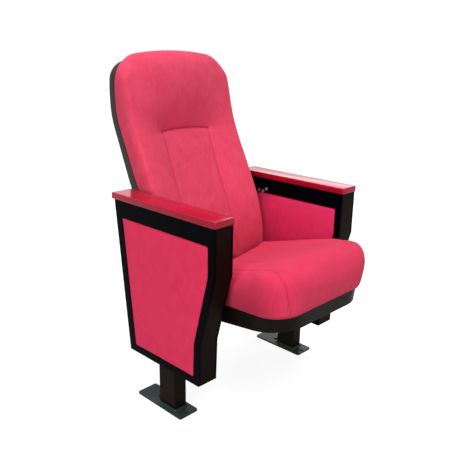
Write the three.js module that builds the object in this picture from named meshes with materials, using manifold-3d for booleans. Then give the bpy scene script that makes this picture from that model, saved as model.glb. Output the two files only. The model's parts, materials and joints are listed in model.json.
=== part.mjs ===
// Tip-up auditorium seat, in millimetres. +Z is up, the sitter faces -Y and the floor is z = 0.
// Each side is built at +X, the sitter's left, and mirrored to the right.
// Lengths along Y are counted from the seat hinge, and the finished seat is centred at the end.

import * as THREE from 'three';
import { mergeVertices } from 'three/addons/utils/BufferGeometryUtils.js';
import Module from 'manifold-3d';

const wasm = await Module();
wasm.setup();

// Overall sizes
const SIDE_SPACING = 550;
const ARM_HEIGHT = 630;
const BACK_TOP = 1027;
const HINGE_HEIGHT = 322;

// Fits
const FIT = 0.3;
const CURVED_FIT = 0.9;
const RUNNING_FIT = 0.1;
const OVERRUN = 5;

// Side panels
const SIDE_THICKNESS = 68;
const COVER_THICKNESS = 8;
const BAND_WALL = 16;
const PANEL_FOOT = 144;
const PANEL_FRONT_TOP = 167;
const PANEL_FRONT_MIDDLE = 113;
const PANEL_FRONT_FOOT = 109;
const PANEL_REAR_TOP = 253;
const PANEL_REAR_FOOT = 201;
const LOW_KINK_SHARE = 0.2694;
const HIGH_KINK_SHARE = 0.712;
const BORDER_TOP = 51;
const BORDER_SIDE = 23;
const BORDER_REAR = 27;
const BORDER_FOOT = 22;
const PAD_THICKNESS = 4;
const PAD_CORNER = 6;

// Arm caps
const ARM_THICKNESS = 18;
const ARM_WIDTH = 72;
const ARM_CORNER = 6;
const ARM_FRONT_LIP = 4;
const ARM_REAR_LIP = 14;
const ARM_SCREW_RADIUS = 3;
const ARM_SCREW_HEAD_RADIUS = 6;
const ARM_SCREW_HEAD_HEIGHT = 4;
const ARM_SCREW_GRIP = 11;
const ARM_SCREW_FRONT = 100;
const ARM_SCREW_REAR = 195;

// Posts, floor plates and the rails inside the panels
const POST_WIDTH = 44;
const POST_DEPTH = 74;
const POST_FRONT = 5.6;
const POST_CORNER = 5;
const TUBE_WALL = 3;
const PLATE_WIDTH = 70;
const PLATE_THICKNESS = 6.5;
const PLATE_FRONT = 31;
const PLATE_LENGTH = 201;
const PLATE_CORNER = 7;
const WELD_LEG = 5;
const ANCHOR_REACH = 23.3;
const ANCHOR_RADIUS = 4;
const ANCHOR_HEAD_RADIUS = 6.5;
const ANCHOR_HEAD_HEIGHT = 3;
const RAIL_HEIGHT = 40;
const RAIL_FRONT = 130;
const RAIL_REAR = 212;
const STAY_LOW = 400;
const STAY_HEIGHT = 30;
const STAY_REAR = 205;
const STAY_LUG_FRONT = 178;
const STAY_LUG_THICKNESS = 6;

// Back brackets and their bolts
const BRACKET_SHEET = 4;
const BRACKET_FRONT = 128;
const BRACKET_WEB = 196;
const BRACKET_BORDER = 3;
const BRACKET_LIFT = 7;
const BOLT_RADIUS = 3.5;
const BOLT_HEAD_RADIUS = 5.5;
const BOLT_HEAD_HEIGHT = 4;
const BOLT_END = 4;
const BOLT_FRONT = 138;
const BOLT_MIDDLE = 154;
const BOLT_REAR = 173;
const BOLT_FRONT_DROP = 18;
const BOLT_MIDDLE_DROP = 28;
const BOLT_REAR_DROP = 26;
const BOLTS = [
  { name: 'front', reach: BOLT_FRONT, drop: BOLT_FRONT_DROP },
  { name: 'middle', reach: BOLT_MIDDLE, drop: BOLT_MIDDLE_DROP },
  { name: 'rear', reach: BOLT_REAR, drop: BOLT_REAR_DROP },
];

// Seat hinge
const SEAT_TILT = THREE.MathUtils.degToRad(3);
const SEAT_TRAVEL = THREE.MathUtils.degToRad(78);
const PIN_RADIUS = 8;
const BUSH_WALL = 4;
const BUSH_LENGTH = 11;
const CHEEK_RADIUS = 60;
const CHEEK_HEIGHT = 12;
const STOP_REACH = 45;
const STOP_PIN_RADIUS = 5;
const STOP_PLAY = 1.7;
const BUFFER_THICKNESS = 8;
const HINGE_FOOT_HEIGHT = 120;
const ARM_WEB = 7;
const ARM_WEB_HEIGHT = 36;
const ARM_FLANGE_WIDTH = 46;
const ARM_FLANGE = 5;
const ARM_PLATE_FRONT = 110;
const ARM_PLATE_REAR = 76;
const SPRING_RADIUS = 12;
const SPRING_WIRE = 1.5;
const SPRING_PITCH = 4.2;
const SPRING_TURNS = 4;
const SPRING_LEG = 6;

// Seat
const SEAT_SIDE_GAP = 35;
const SEAT_FRONT = 307;
const SEAT_REAR = 112;
const PAN_CORNER = 94;
const PAN_REAR_CORNER = 22;
const PAN_WALL = 4;
const PAN_DRAFT = 5;
const RIM_RISE = 29;
const PAN_FRONT_DEPTH = 40;
const PAN_REAR_DEPTH = 70;
const SEAT_BOARD = 12;
const SEAT_BULGE = 18;
const SEAT_FRONT_RISE = 142;
const SEAT_REAR_RISE = 50;
const SEAT_REAR_INSET = 3;
const SEAT_CROWN = 9;
const SEAT_DISH = 17;
const SEAT_FRONT_ROLL = 74;
const SEAT_SIDE_ROLL = 30;
const SEAT_REAR_ROLL = 28;
const SEAT_FLARE = 20;

// Back
const BACK_BOTTOM = 352;
const BACK_SIDE_GAP = 21;
const BACK_FRONT = 122;
const BACK_LEAN = 220;
const BACK_TOP_CORNER = 77;
const BACK_FOOT_CORNER = 18;
const BACK_TOP_CROWN = 23;
const BACK_CROWN = 7;
const BACK_DISH = 41;
const SHELL_DEPTH = 40;
const SHELL_TOP_DROP = 20;
const SHELL_TOP_CORNER = 52;
const SHELL_WALL = 5;
const SHELL_ROLL = 9;
const BACK_BOARD = 15;
const BOARD_EDGE = 4;
const BACK_SIDE_ROLL = 16;
const BACK_TOP_ROLL = 46;
const BACK_FOOT_ROLL = 18;
const SEAM_REACH = 95;
const DISH_REACH = 150;
const SEAM_WIDTH = 9;
const SEAM_DEPTH = 3;
const TUCK_DEPTH = 9;

// Facets
const ARC_STEPS = 5;
const ROUND_SIDES = 24;
const BEARING_SIDES = 32;
const SCREW_SIDES = 12;
const HEX_SIDES = 6;
const SPRING_STEPS = 8;
const SPRING_SIDES = 6;
const CORNER_STEPS = 7;
const SLOT_STEP = THREE.MathUtils.degToRad(5);

// Worked-out places
const SIDE_X = SIDE_SPACING / 2;
const PANEL_IN = SIDE_X - SIDE_THICKNESS / 2;
const PANEL_OUT = SIDE_X + SIDE_THICKNESS / 2;
const BAND_IN = PANEL_IN + COVER_THICKNESS;
const BAND_OUT = PANEL_OUT - COVER_THICKNESS;
const PANEL_TOP = ARM_HEIGHT - ARM_THICKNESS - FIT;
const LOW_KINK_HEIGHT = THREE.MathUtils.lerp(PANEL_FOOT, PANEL_TOP, LOW_KINK_SHARE);
const HIGH_KINK_HEIGHT = THREE.MathUtils.lerp(PANEL_FOOT, PANEL_TOP, HIGH_KINK_SHARE);
const RAIL_TOP = PANEL_TOP - BAND_WALL - FIT;
const RAIL_BOTTOM = RAIL_TOP - RAIL_HEIGHT;
const POST_REAR = POST_FRONT + POST_DEPTH;
const POST_IN = SIDE_X - POST_WIDTH / 2;
const PLATE_REAR = PLATE_LENGTH - PLATE_FRONT;
const SEAT_HALF = PANEL_IN - SEAT_SIDE_GAP;
const BACK_HALF = PANEL_IN - BACK_SIDE_GAP;
const BACK_HEIGHT = BACK_TOP - BACK_BOTTOM;
const CHEEK_X = PANEL_IN - CHEEK_HEIGHT;
const BUSH_RADIUS = PIN_RADIUS + RUNNING_FIT + BUSH_WALL;
const CUSHION_EDGE = { top: BACK_TOP, corner: BACK_TOP_CORNER, inset: 0 };
const RIM = RIM_RISE;
const BOARD_LOW = RIM - SEAT_BOARD;

// The back's side profile from foot to top: [share of its height, share of its lean].
const CREASE_SHARES = [
  [0, 0], [0.15, 0.027], [0.302, 0.151], [0.469, 0.392], [0.576, 0.561], [0.671, 0.689],
  [0.744, 0.755], [0.815, 0.806], [0.878, 0.855], [0.939, 0.914], [1, 0.959],
];
const SEAT_LINE_SHARES = [
  [0, 0.3], [0.15, 0.341], [0.302, 0.464], [0.446, 0.682], [0.582, 0.877], [0.71, 1.045],
  [0.814, 1.082], [0.893, 1.07], [0.964, 1.064], [1, 1.064],
];
// How far the middle lies behind the side bolsters: [share of the height, share of the dish].
const DISH_SHARES = [
  [0, 0.2], [0.15, 0.76], [0.302, 1.05], [0.35, 1.09], [0.469, 0.93], [0.576, 0.64],
  [0.641, 0.68], [0.678, 0.35], [0.744, -0.02], [0.815, -0.16], [0.939, -0.15], [1, 0],
];
// The shell's depth by height: [share of the height, share of the depth].
const SHELL_DEPTH_SHARES = [
  [0, 0.98], [0.4, 0.98], [0.5, 0.91], [0.6, 0.84], [0.7, 0.78], [0.8, 0.735], [1, 0.725],
];
const TUCK_SHARE = 0.641;
const TUCK_WIDTH_SHARE = 0.016;
const SEAT_WIDEST_SHARE = 0.52;

// Grid lines from the middle of the back or seat to its edge, as shares of the half width.
const CUSHION_COLUMN_SHARES = [0, 0.2, 0.392, 0.432, 0.477, 0.65, 0.8, 0.89, 0.94, 0.975, 0.993, 1];
const SHELL_COLUMN_SHARES = [0, 0.432, 0.8, 0.89, 0.94, 0.975, 0.993, 1];
const BACK_ROW_SHARES = [
  0, 0.006, 0.02, 0.04, 0.1, 0.17, 0.24, 0.32, 0.4, 0.48, 0.55, 0.61, 0.63, 0.641, 0.652, 0.672,
  0.71, 0.76, 0.82, 0.88, 0.93, 0.96, 0.98, 0.993, 1,
];
const SEAT_COLUMN_SHARES = [0, 0.22, 0.42, 0.58, 0.7, 0.79, 0.86, 0.91, 0.95, 0.975, 0.993, 1];
const SEAT_ROW_SHARES = [
  0, 0.004, 0.015, 0.035, 0.07, 0.14, 0.24, 0.36, 0.48, 0.6, 0.7, 0.77, 0.82, 0.86, 0.895,
  0.925, 0.95, 0.97, 0.985, 0.995, 1,
];

const FABRIC = { color: 0xd23a5c, roughness: 0.9, metalness: 0 };
const ARM_RED = { color: 0xcf2f4c, roughness: 0.35, metalness: 0 };
const PANEL_BLACK = { color: 0x1a1412, roughness: 0.5, metalness: 0 };
const SHELL_BLACK = { color: 0x2c2f2c, roughness: 0.55, metalness: 0 };
const PAINTED_STEEL = { color: 0x1d1b1a, roughness: 0.45, metalness: 0.4 };
const PLATE_STEEL = { color: 0x33403f, roughness: 0.25, metalness: 0.4 };
const BARE_STEEL = { color: 0x9a9c9e, roughness: 0.35, metalness: 1 };
const NYLON = { color: 0xd8d4c8, roughness: 0.6, metalness: 0 };
const BUFFER_RUBBER = { color: 0x161616, roughness: 0.9, metalness: 0 };
const PLYWOOD = { color: 0xb98f5c, roughness: 0.7, metalness: 0 };

// Solids

function toSolid(geometry) {
  const bare = geometry.clone();
  bare.deleteAttribute('normal');
  bare.deleteAttribute('uv');
  const merged = mergeVertices(bare);
  return new wasm.Manifold(new wasm.Mesh({
    numProp: 3,
    vertProperties: merged.attributes.position.array,
    triVerts: Uint32Array.from(merged.index.array),
  }));
}

function toGeometry(solid) {
  const { vertProperties, triVerts } = solid.getMesh();
  const geometry = new THREE.BufferGeometry();
  geometry.setAttribute('position', new THREE.BufferAttribute(vertProperties, 3));
  geometry.setIndex(new THREE.BufferAttribute(triVerts, 1));
  return geometry;
}

function join(...bodies) {
  return toGeometry(bodies.map(toSolid).reduce((whole, body) => whole.add(body)));
}

function cut(body, ...tools) {
  return toGeometry(tools.reduce((whole, tool) => whole.subtract(toSolid(tool)), toSolid(body)));
}

// Turns a triangle list's faces over.
function flipFaces(geometry) {
  const index = geometry.index.array;
  for (let i = 0; i < index.length; i += 3) {
    [index[i + 1], index[i + 2]] = [index[i + 2], index[i + 1]];
  }
  return geometry;
}

function mirrored(geometry) {
  const bare = geometry.clone();
  bare.deleteAttribute('normal');
  bare.deleteAttribute('uv');
  const copy = mergeVertices(bare);
  copy.applyMatrix4(new THREE.Matrix4().makeScale(-1, 1, 1));
  return flipFaces(copy);
}

// A body from corner points and triangles, with its faces turned outwards.
function bodyFrom(points, triangles) {
  const geometry = new THREE.BufferGeometry().setFromPoints(points);
  geometry.setIndex(triangles);
  const volume = triangles.reduce((sum, _, i) => {
    if (i % 3) return sum;
    const [a, b, c] = [0, 1, 2].map((k) => points[triangles[i + k]]);
    return sum + a.dot(b.clone().cross(c));
  }, 0);
  return volume < 0 ? flipFaces(geometry) : geometry;
}

// Curves and outlines

// Straight lines through [at, value] points.
function follow(points, at) {
  const last = points.findIndex(([place]) => place >= at);
  const i = last < 0 ? points.length - 1 : Math.max(last, 1);
  const [[a, valueA], [b, valueB]] = [points[i - 1], points[i]];
  return valueA + (valueB - valueA) * ((at - a) / (b - a));
}

// A smooth curve through [at, value] points.
function smooth(points, at) {
  const slope = (i) => {
    const [a, b] = [points[Math.max(i - 1, 0)], points[Math.min(i + 1, points.length - 1)]];
    return (b[1] - a[1]) / (b[0] - a[0]);
  };
  const found = points.findIndex(([place]) => place >= at);
  const i = found < 0 ? points.length - 1 : Math.max(found, 1);
  const [a, b] = [points[i - 1], points[i]];
  const run = b[0] - a[0];
  const t = THREE.MathUtils.clamp((at - a[0]) / run, 0, 1);
  const [t2, t3] = [t * t, t * t * t];
  return (2 * t3 - 3 * t2 + 1) * a[1] + (t3 - 2 * t2 + t) * run * slope(i - 1)
    + (3 * t2 - 2 * t3) * b[1] + (t3 - t2) * run * slope(i);
}

// Rises from 0 at an edge to 1 at the given distance, as a quarter round.
function roll(distance, radius) {
  const left = 1 - THREE.MathUtils.clamp(distance / radius, 0, 1);
  return Math.sqrt(Math.max(1 - left * left, 0));
}

// A closed outline through corner points, with the corners rounded.
function outline(points, radius = 0) {
  const shape = new THREE.Shape();
  points.forEach(([a, b], i) => {
    const corner = new THREE.Vector2(a, b);
    const before = new THREE.Vector2(...points.at(i - 1));
    const after = new THREE.Vector2(...points[(i + 1) % points.length]);
    const reach = Math.min(radius, corner.distanceTo(before) / 2, corner.distanceTo(after) / 2);
    const entry = corner.clone().add(before.sub(corner).setLength(reach));
    const exit = corner.clone().add(after.sub(corner).setLength(reach));
    if (i === 0) shape.moveTo(entry.x, entry.y);
    else shape.lineTo(entry.x, entry.y);
    if (reach > 0) shape.quadraticCurveTo(corner.x, corner.y, exit.x, exit.y);
  });
  shape.closePath();
  return shape;
}

function rectangle(left, right, low, high, radius = 0) {
  return outline([[left, low], [right, low], [right, high], [left, high]], radius);
}

// Basic bodies

function extrude(shape, depth) {
  return new THREE.ExtrudeGeometry(shape, { depth, bevelEnabled: false, curveSegments: ARC_STEPS });
}

// An outline in (y, z) drawn out along X.
function prismX(shape, start, end) {
  const turn = new THREE.Matrix4().makeBasis(
    new THREE.Vector3(0, 1, 0),
    new THREE.Vector3(0, 0, 1),
    new THREE.Vector3(1, 0, 0),
  );
  return extrude(shape, end - start).applyMatrix4(turn).translate(start, 0, 0);
}

// An outline in (x, z) drawn out along Y.
function prismY(shape, start, end) {
  return extrude(shape, end - start).rotateX(Math.PI / 2).translate(0, end, 0);
}

// An outline in (x, y) drawn out along Z.
function prismZ(shape, start, end) {
  return extrude(shape, end - start).translate(0, 0, start);
}

function box(x, y, z) {
  const size = [x, y, z].map(([low, high]) => high - low);
  const middle = [x, y, z].map(([low, high]) => (low + high) / 2);
  return new THREE.BoxGeometry(...size).translate(...middle);
}

function rodX(radius, start, end, y, z, sides = ROUND_SIDES) {
  const rod = new THREE.CylinderGeometry(radius, radius, end - start, sides);
  return rod.rotateZ(-Math.PI / 2).translate((start + end) / 2, y, z);
}

function rodZ(radius, x, y, start, end, sides = ROUND_SIDES) {
  const rod = new THREE.CylinderGeometry(radius, radius, end - start, sides);
  return rod.rotateX(Math.PI / 2).translate(x, y, (start + end) / 2);
}

// A body through rings of points, one above the other, closed at both ends.
function loft(rings) {
  const count = rings[0].length;
  const points = rings.flat();
  const triangles = [];
  for (let k = 0; k + 1 < rings.length; k += 1) {
    for (let i = 0; i < count; i += 1) {
      const next = (i + 1) % count;
      const [a, b] = [k * count + i, k * count + next];
      triangles.push(a, b, b + count, a, b + count, a + count);
    }
  }
  [0, rings.length - 1].forEach((k) => {
    const middle = rings[k].reduce((sum, point) => sum.add(point), new THREE.Vector3());
    points.push(middle.divideScalar(count));
    for (let i = 0; i < count; i += 1) {
      const [a, b] = [k * count + i, k * count + ((i + 1) % count)];
      triangles.push(...(k === 0 ? [points.length - 1, b, a] : [points.length - 1, a, b]));
    }
  });
  return bodyFrom(points, triangles);
}

// A body between two faces on one grid, with its edges closed.
function slab(columns, rows, nearFace, farFace) {
  const width = columns.length;
  const sheet = width * rows.length;
  const grid = (face) => rows.flatMap((row) => columns.map((column) => face(column, row)));
  const points = [...grid(nearFace), ...grid(farFace)];
  const triangles = [];
  const quad = (a, b, c, d) => triangles.push(a, b, c, a, c, d);
  for (let j = 0; j + 1 < rows.length; j += 1) {
    for (let i = 0; i + 1 < width; i += 1) {
      const a = j * width + i;
      quad(a, a + 1, a + width + 1, a + width);
      quad(sheet + a, sheet + a + width, sheet + a + width + 1, sheet + a + 1);
    }
  }
  const edge = [
    ...columns.keys(),
    ...[...rows.keys()].slice(1).map((j) => j * width + width - 1),
    ...[...columns.keys()].reverse().slice(1).map((i) => (rows.length - 1) * width + i),
    ...[...rows.keys()].reverse().slice(1, -1).map((j) => j * width),
  ];
  edge.forEach((a, i) => {
    const b = edge[(i + 1) % edge.length];
    quad(b, a, sheet + a, sheet + b);
  });
  return bodyFrom(points, triangles);
}

function bothSides(shares) {
  return [...shares.slice(1).map((share) => -share).reverse(), ...shares];
}

// Scene helpers

const seatModel = new THREE.Group();
const fixedGroup = new THREE.Group();
const tipUpGroup = new THREE.Group();
tipUpGroup.position.z = HINGE_HEIGHT;
tipUpGroup.rotation.x = -SEAT_TILT;
seatModel.add(fixedGroup, tipUpGroup);

function addPiece(group, name, geometry, finish) {
  const mesh = new THREE.Mesh(geometry, new THREE.MeshStandardMaterial(finish));
  mesh.name = name;
  group.add(mesh);
}

function addPair(group, name, geometry, finish) {
  addPiece(group, `left_${name}`, geometry, finish);
  addPiece(group, `right_${name}`, mirrored(geometry), finish);
}

// Side panels

function frontEdge(height) {
  const points = [
    [PANEL_FOOT, -PANEL_FRONT_FOOT],
    [LOW_KINK_HEIGHT, -PANEL_FRONT_MIDDLE],
    [HIGH_KINK_HEIGHT, -PANEL_FRONT_TOP],
    [PANEL_TOP, -PANEL_FRONT_TOP],
  ];
  return follow(points, height);
}

function rearEdge(height) {
  return follow([[PANEL_FOOT, PANEL_REAR_FOOT], [PANEL_TOP, PANEL_REAR_TOP]], height);
}

// The side's outline, drawn in from its front, rear, top and foot.
function panelOutline(front, rear, top, foot) {
  const [low, high] = [PANEL_FOOT + foot, PANEL_TOP - top];
  return [
    [rearEdge(high) - rear, high],
    [frontEdge(high) + front, high],
    [frontEdge(HIGH_KINK_HEIGHT) + front, HIGH_KINK_HEIGHT],
    [frontEdge(LOW_KINK_HEIGHT) + front, LOW_KINK_HEIGHT],
    [frontEdge(low) + front, low],
    [rearEdge(low) - rear, low],
  ];
}

function insetOutline(gap) {
  const borders = [BORDER_SIDE, BORDER_REAR, BORDER_TOP, BORDER_FOOT];
  return outline(panelOutline(...borders.map((border) => border + gap)), PAD_CORNER);
}

function panelBand() {
  const whole = prismX(outline(panelOutline(0, 0, 0, 0)), BAND_IN + FIT, BAND_OUT - FIT);
  const hollow = outline(panelOutline(BAND_WALL, BAND_WALL, BAND_WALL, BAND_WALL));
  return cut(
    whole,
    prismX(hollow, BAND_IN - OVERRUN, BAND_OUT + OVERRUN),
    prismZ(postOutline(FIT), PANEL_FOOT - OVERRUN, PANEL_FOOT + BAND_WALL + OVERRUN),
    ...armScrewPlaces().map((y) => (
      rodZ(ARM_SCREW_RADIUS + FIT, SIDE_X, y, RAIL_TOP - OVERRUN, PANEL_TOP + OVERRUN, SCREW_SIDES)
    )),
  );
}

function outerCover() {
  const plate = prismX(outline(panelOutline(0, 0, 0, 0)), BAND_OUT, PANEL_OUT);
  return cut(plate, prismX(insetOutline(0), PANEL_OUT - PAD_THICKNESS, PANEL_OUT + OVERRUN));
}

function innerCover() {
  const plate = prismX(outline(panelOutline(0, 0, 0, 0)), PANEL_IN, BAND_IN);
  return cut(
    plate,
    prismX(insetOutline(0), PANEL_IN - OVERRUN, PANEL_IN + PAD_THICKNESS),
    ...hingeOpening(),
    stayOpening(),
    ...BOLTS.map((bolt) => boltHole(bolt, PANEL_IN - OVERRUN, BAND_IN + OVERRUN)),
  );
}

function outerPad() {
  return prismX(insetOutline(FIT), PANEL_OUT - PAD_THICKNESS + FIT, PANEL_OUT);
}

function innerPad() {
  const pad = prismX(insetOutline(FIT), PANEL_IN, PANEL_IN + PAD_THICKNESS - FIT);
  return cut(pad, ...hingeOpening(), stayOpening());
}

// Arm caps

function armScrewPlaces() {
  return [-ARM_SCREW_FRONT, ARM_SCREW_REAR];
}

function armCap() {
  const [front, rear] = [-PANEL_FRONT_TOP - ARM_FRONT_LIP, PANEL_REAR_TOP + ARM_REAR_LIP];
  const halfWidth = ARM_WIDTH / 2;
  const plan = rectangle(SIDE_X - halfWidth, SIDE_X + halfWidth, front, rear, ARM_CORNER);
  const low = ARM_HEIGHT - ARM_THICKNESS;
  return cut(
    prismZ(plan, low, ARM_HEIGHT),
    ...armScrewPlaces().map((y) => (
      rodZ(ARM_SCREW_RADIUS + FIT, SIDE_X, y, low - OVERRUN, low + ARM_SCREW_GRIP + FIT, SCREW_SIDES)
    )),
  );
}

function armScrew(y) {
  const shoulder = RAIL_BOTTOM - FIT;
  const tip = ARM_HEIGHT - ARM_THICKNESS + ARM_SCREW_GRIP;
  return join(
    rodZ(ARM_SCREW_HEAD_RADIUS, SIDE_X, y, shoulder - ARM_SCREW_HEAD_HEIGHT, shoulder, HEX_SIDES),
    rodZ(ARM_SCREW_RADIUS, SIDE_X, y, shoulder - ARM_SCREW_HEAD_HEIGHT / 2, tip, SCREW_SIDES),
  );
}

// Posts, floor plates and rails

function postOutline(gap) {
  const halfWidth = POST_WIDTH / 2 + gap;
  return rectangle(
    SIDE_X - halfWidth,
    SIDE_X + halfWidth,
    POST_FRONT - gap,
    POST_REAR + gap,
    POST_CORNER,
  );
}

function post() {
  const [low, high] = [PLATE_THICKNESS + FIT, RAIL_BOTTOM - FIT];
  const whole = prismZ(postOutline(0), low, high);
  return cut(whole, prismZ(postOutline(-TUBE_WALL), low - OVERRUN, high + OVERRUN));
}

function anchorPlaces() {
  return { front: POST_FRONT - ANCHOR_REACH, rear: POST_REAR + ANCHOR_REACH };
}

function floorPlate() {
  const halfWidth = PLATE_WIDTH / 2;
  const [left, right] = [SIDE_X - halfWidth, SIDE_X + halfWidth];
  const plan = rectangle(left, right, -PLATE_FRONT, PLATE_REAR, PLATE_CORNER);
  return cut(
    prismZ(plan, 0, PLATE_THICKNESS),
    ...Object.values(anchorPlaces()).map((y) => (
      rodZ(ANCHOR_RADIUS + FIT, SIDE_X, y, -OVERRUN, PLATE_THICKNESS + OVERRUN, SCREW_SIDES)
    )),
  );
}

function anchorScrew(y) {
  const shoulder = PLATE_THICKNESS + FIT;
  return join(
    rodZ(ANCHOR_RADIUS, SIDE_X, y, FIT, shoulder + ANCHOR_HEAD_HEIGHT / 2, SCREW_SIDES),
    rodZ(ANCHOR_HEAD_RADIUS, SIDE_X, y, shoulder, shoulder + ANCHOR_HEAD_HEIGHT, ROUND_SIDES),
  );
}

// A fillet of weld round the foot of the post.
function footWeld() {
  const low = PLATE_THICKNESS + FIT;
  const ring = (gap, height) => postOutline(gap).extractPoints(ARC_STEPS).shape.slice(0, -1)
    .map(({ x, y }) => new THREE.Vector3(x, y, height));
  const fillet = loft([ring(FIT + WELD_LEG, low), ring(FIT + WELD_LEG / 8, low + WELD_LEG)]);
  return cut(fillet, prismZ(postOutline(FIT), low - OVERRUN, low + WELD_LEG + OVERRUN));
}

function railOutline(low, high, gap) {
  const [left, right] = [BAND_IN + FIT + gap, BAND_OUT - FIT - gap];
  return rectangle(left, right, low + gap, high - gap, gap ? 0 : TUBE_WALL);
}

function topRail() {
  const tube = cut(
    prismY(railOutline(RAIL_BOTTOM, RAIL_TOP, 0), -RAIL_FRONT, RAIL_REAR),
    prismY(railOutline(RAIL_BOTTOM, RAIL_TOP, TUBE_WALL), -RAIL_FRONT - OVERRUN, RAIL_REAR + OVERRUN),
  );
  return cut(
    tube,
    ...armScrewPlaces().map((y) => (
      rodZ(ARM_SCREW_RADIUS + FIT, SIDE_X, y, RAIL_BOTTOM - OVERRUN, RAIL_TOP + OVERRUN, SCREW_SIDES)
    )),
    ...BOLTS.map((bolt) => boltHole(bolt, BAND_IN - OVERRUN, BAND_IN + TUBE_WALL + OVERRUN)),
  );
}

// The lower stay: a tube on the post with a lug that reaches the shell's side.
function backStay() {
  const high = STAY_LOW + STAY_HEIGHT;
  const tube = cut(
    prismY(railOutline(STAY_LOW, high, 0), POST_REAR + FIT, STAY_REAR),
    prismY(railOutline(STAY_LOW, high, TUBE_WALL), POST_REAR - OVERRUN, STAY_REAR + OVERRUN),
  );
  const lugRear = shellSide(STAY_LOW + STAY_HEIGHT / 2).rear;
  const lug = outline([
    [BAND_IN + TUBE_WALL, STAY_LUG_FRONT],
    [BAND_IN + TUBE_WALL, STAY_LUG_FRONT + STAY_LUG_THICKNESS],
    [BACK_HALF + FIT + BRACKET_SHEET, STAY_LUG_FRONT + STAY_LUG_THICKNESS],
    [BACK_HALF + FIT + BRACKET_SHEET, lugRear],
    [BACK_HALF + FIT, lugRear],
    [BACK_HALF + FIT, STAY_LUG_FRONT],
  ]);
  return join(tube, prismZ(lug, STAY_LOW + TUBE_WALL, high - TUBE_WALL));
}

function stayOpening() {
  const high = STAY_LOW + STAY_HEIGHT - TUBE_WALL + FIT;
  return box(
    [PANEL_IN - OVERRUN, BAND_IN + OVERRUN],
    [STAY_LUG_FRONT - FIT, STAY_LUG_FRONT + STAY_LUG_THICKNESS + FIT],
    [STAY_LOW + TUBE_WALL - FIT, high],
  );
}

// Back brackets

function boltHole({ reach, drop }, start, end) {
  return rodX(BOLT_RADIUS + FIT, start, end, reach, RAIL_TOP - drop, SCREW_SIDES);
}

function backBracket() {
  const outer = PANEL_IN - FIT;
  const [low, high] = [RAIL_BOTTOM + BRACKET_LIFT, RAIL_TOP - BRACKET_BORDER];
  const sheet = outline([
    [outer, BRACKET_FRONT],
    [outer, BRACKET_WEB + BRACKET_SHEET],
    [BACK_HALF + FIT + BRACKET_SHEET, BRACKET_WEB + BRACKET_SHEET],
    [BACK_HALF + FIT + BRACKET_SHEET, shellSide((low + high) / 2).rear],
    [BACK_HALF + FIT, shellSide((low + high) / 2).rear],
    [BACK_HALF + FIT, BRACKET_WEB],
    [outer - BRACKET_SHEET, BRACKET_WEB],
    [outer - BRACKET_SHEET, BRACKET_FRONT],
  ]);
  return cut(
    prismZ(sheet, low, high),
    ...BOLTS.map((bolt) => boltHole(bolt, outer - BRACKET_SHEET - OVERRUN, outer + OVERRUN)),
  );
}

function backBolt({ reach, drop }) {
  const shoulder = PANEL_IN - FIT - BRACKET_SHEET - FIT;
  const height = RAIL_TOP - drop;
  const end = BAND_IN + FIT + TUBE_WALL + BOLT_END;
  return join(
    rodX(BOLT_HEAD_RADIUS, shoulder - BOLT_HEAD_HEIGHT, shoulder, reach, height, HEX_SIDES),
    rodX(BOLT_RADIUS, shoulder - BOLT_HEAD_HEIGHT / 2, end, reach, height, SCREW_SIDES),
  );
}

// Seat hinge: fixed pieces

function hingeFoot(gap, start, end) {
  const halfHeight = HINGE_FOOT_HEIGHT / 2 + gap;
  return box(
    [start, end],
    [-gap, POST_REAR + gap],
    [HINGE_HEIGHT - halfHeight, HINGE_HEIGHT + halfHeight],
  );
}

function hingeOpening() {
  const [start, end] = [PANEL_IN - OVERRUN, BAND_IN + OVERRUN];
  return [hingeFoot(FIT, start, end), rodX(CHEEK_RADIUS + FIT, start, end, 0, HINGE_HEIGHT)];
}

// A sector of a ring about the hinge, from one rise angle to another; 0 points forwards.
function sector(inner, outer, from, to) {
  const steps = Math.ceil((to - from) / SLOT_STEP);
  const arc = (radius, start, end) => Array.from({ length: steps + 1 }, (_, i) => {
    const angle = start + (end - start) * (i / steps);
    return [-radius * Math.cos(angle), HINGE_HEIGHT + radius * Math.sin(angle)];
  });
  return outline([...arc(inner, from, to), ...arc(outer, to, from)]);
}

function stopHalfWidth() {
  return STOP_PIN_RADIUS + STOP_PLAY;
}

// Where the down stop's buffer ends, just under the stop pin.
function bufferTop() {
  return SEAT_TILT - Math.asin((STOP_PIN_RADIUS + FIT) / (STOP_REACH - stopHalfWidth()));
}

function bufferBottom() {
  return bufferTop() - BUFFER_THICKNESS / STOP_REACH;
}

function hingeBracket() {
  const back = POST_IN - FIT;
  const cheek = rodX(CHEEK_RADIUS, CHEEK_X, back, 0, HINGE_HEIGHT);
  const slotTop = SEAT_TILT + SEAT_TRAVEL + (STOP_PIN_RADIUS + STOP_PLAY) / (STOP_REACH - stopHalfWidth());
  const slot = sector(
    STOP_REACH - stopHalfWidth(),
    STOP_REACH + stopHalfWidth(),
    bufferBottom() - FIT / STOP_REACH,
    slotTop,
  );
  return cut(
    join(hingeFoot(0, PANEL_IN, back), cheek),
    prismX(slot, CHEEK_X - OVERRUN, PANEL_IN),
    rodX(PIN_RADIUS + FIT, CHEEK_X - OVERRUN, back + OVERRUN, 0, HINGE_HEIGHT, BEARING_SIDES),
    springLegHole(),
  );
}

function hingePin() {
  const inner = armWebOuter() - BUSH_LENGTH;
  return rodX(PIN_RADIUS, inner, POST_IN - FIT, 0, HINGE_HEIGHT, BEARING_SIDES);
}

function stopBuffer() {
  const half = stopHalfWidth() - FIT;
  const block = sector(STOP_REACH - half, STOP_REACH + half, bufferBottom(), bufferTop());
  return prismX(block, CHEEK_X, PANEL_IN - FIT);
}

function springStart() {
  return CHEEK_X - FIT - SPRING_WIRE;
}

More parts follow.
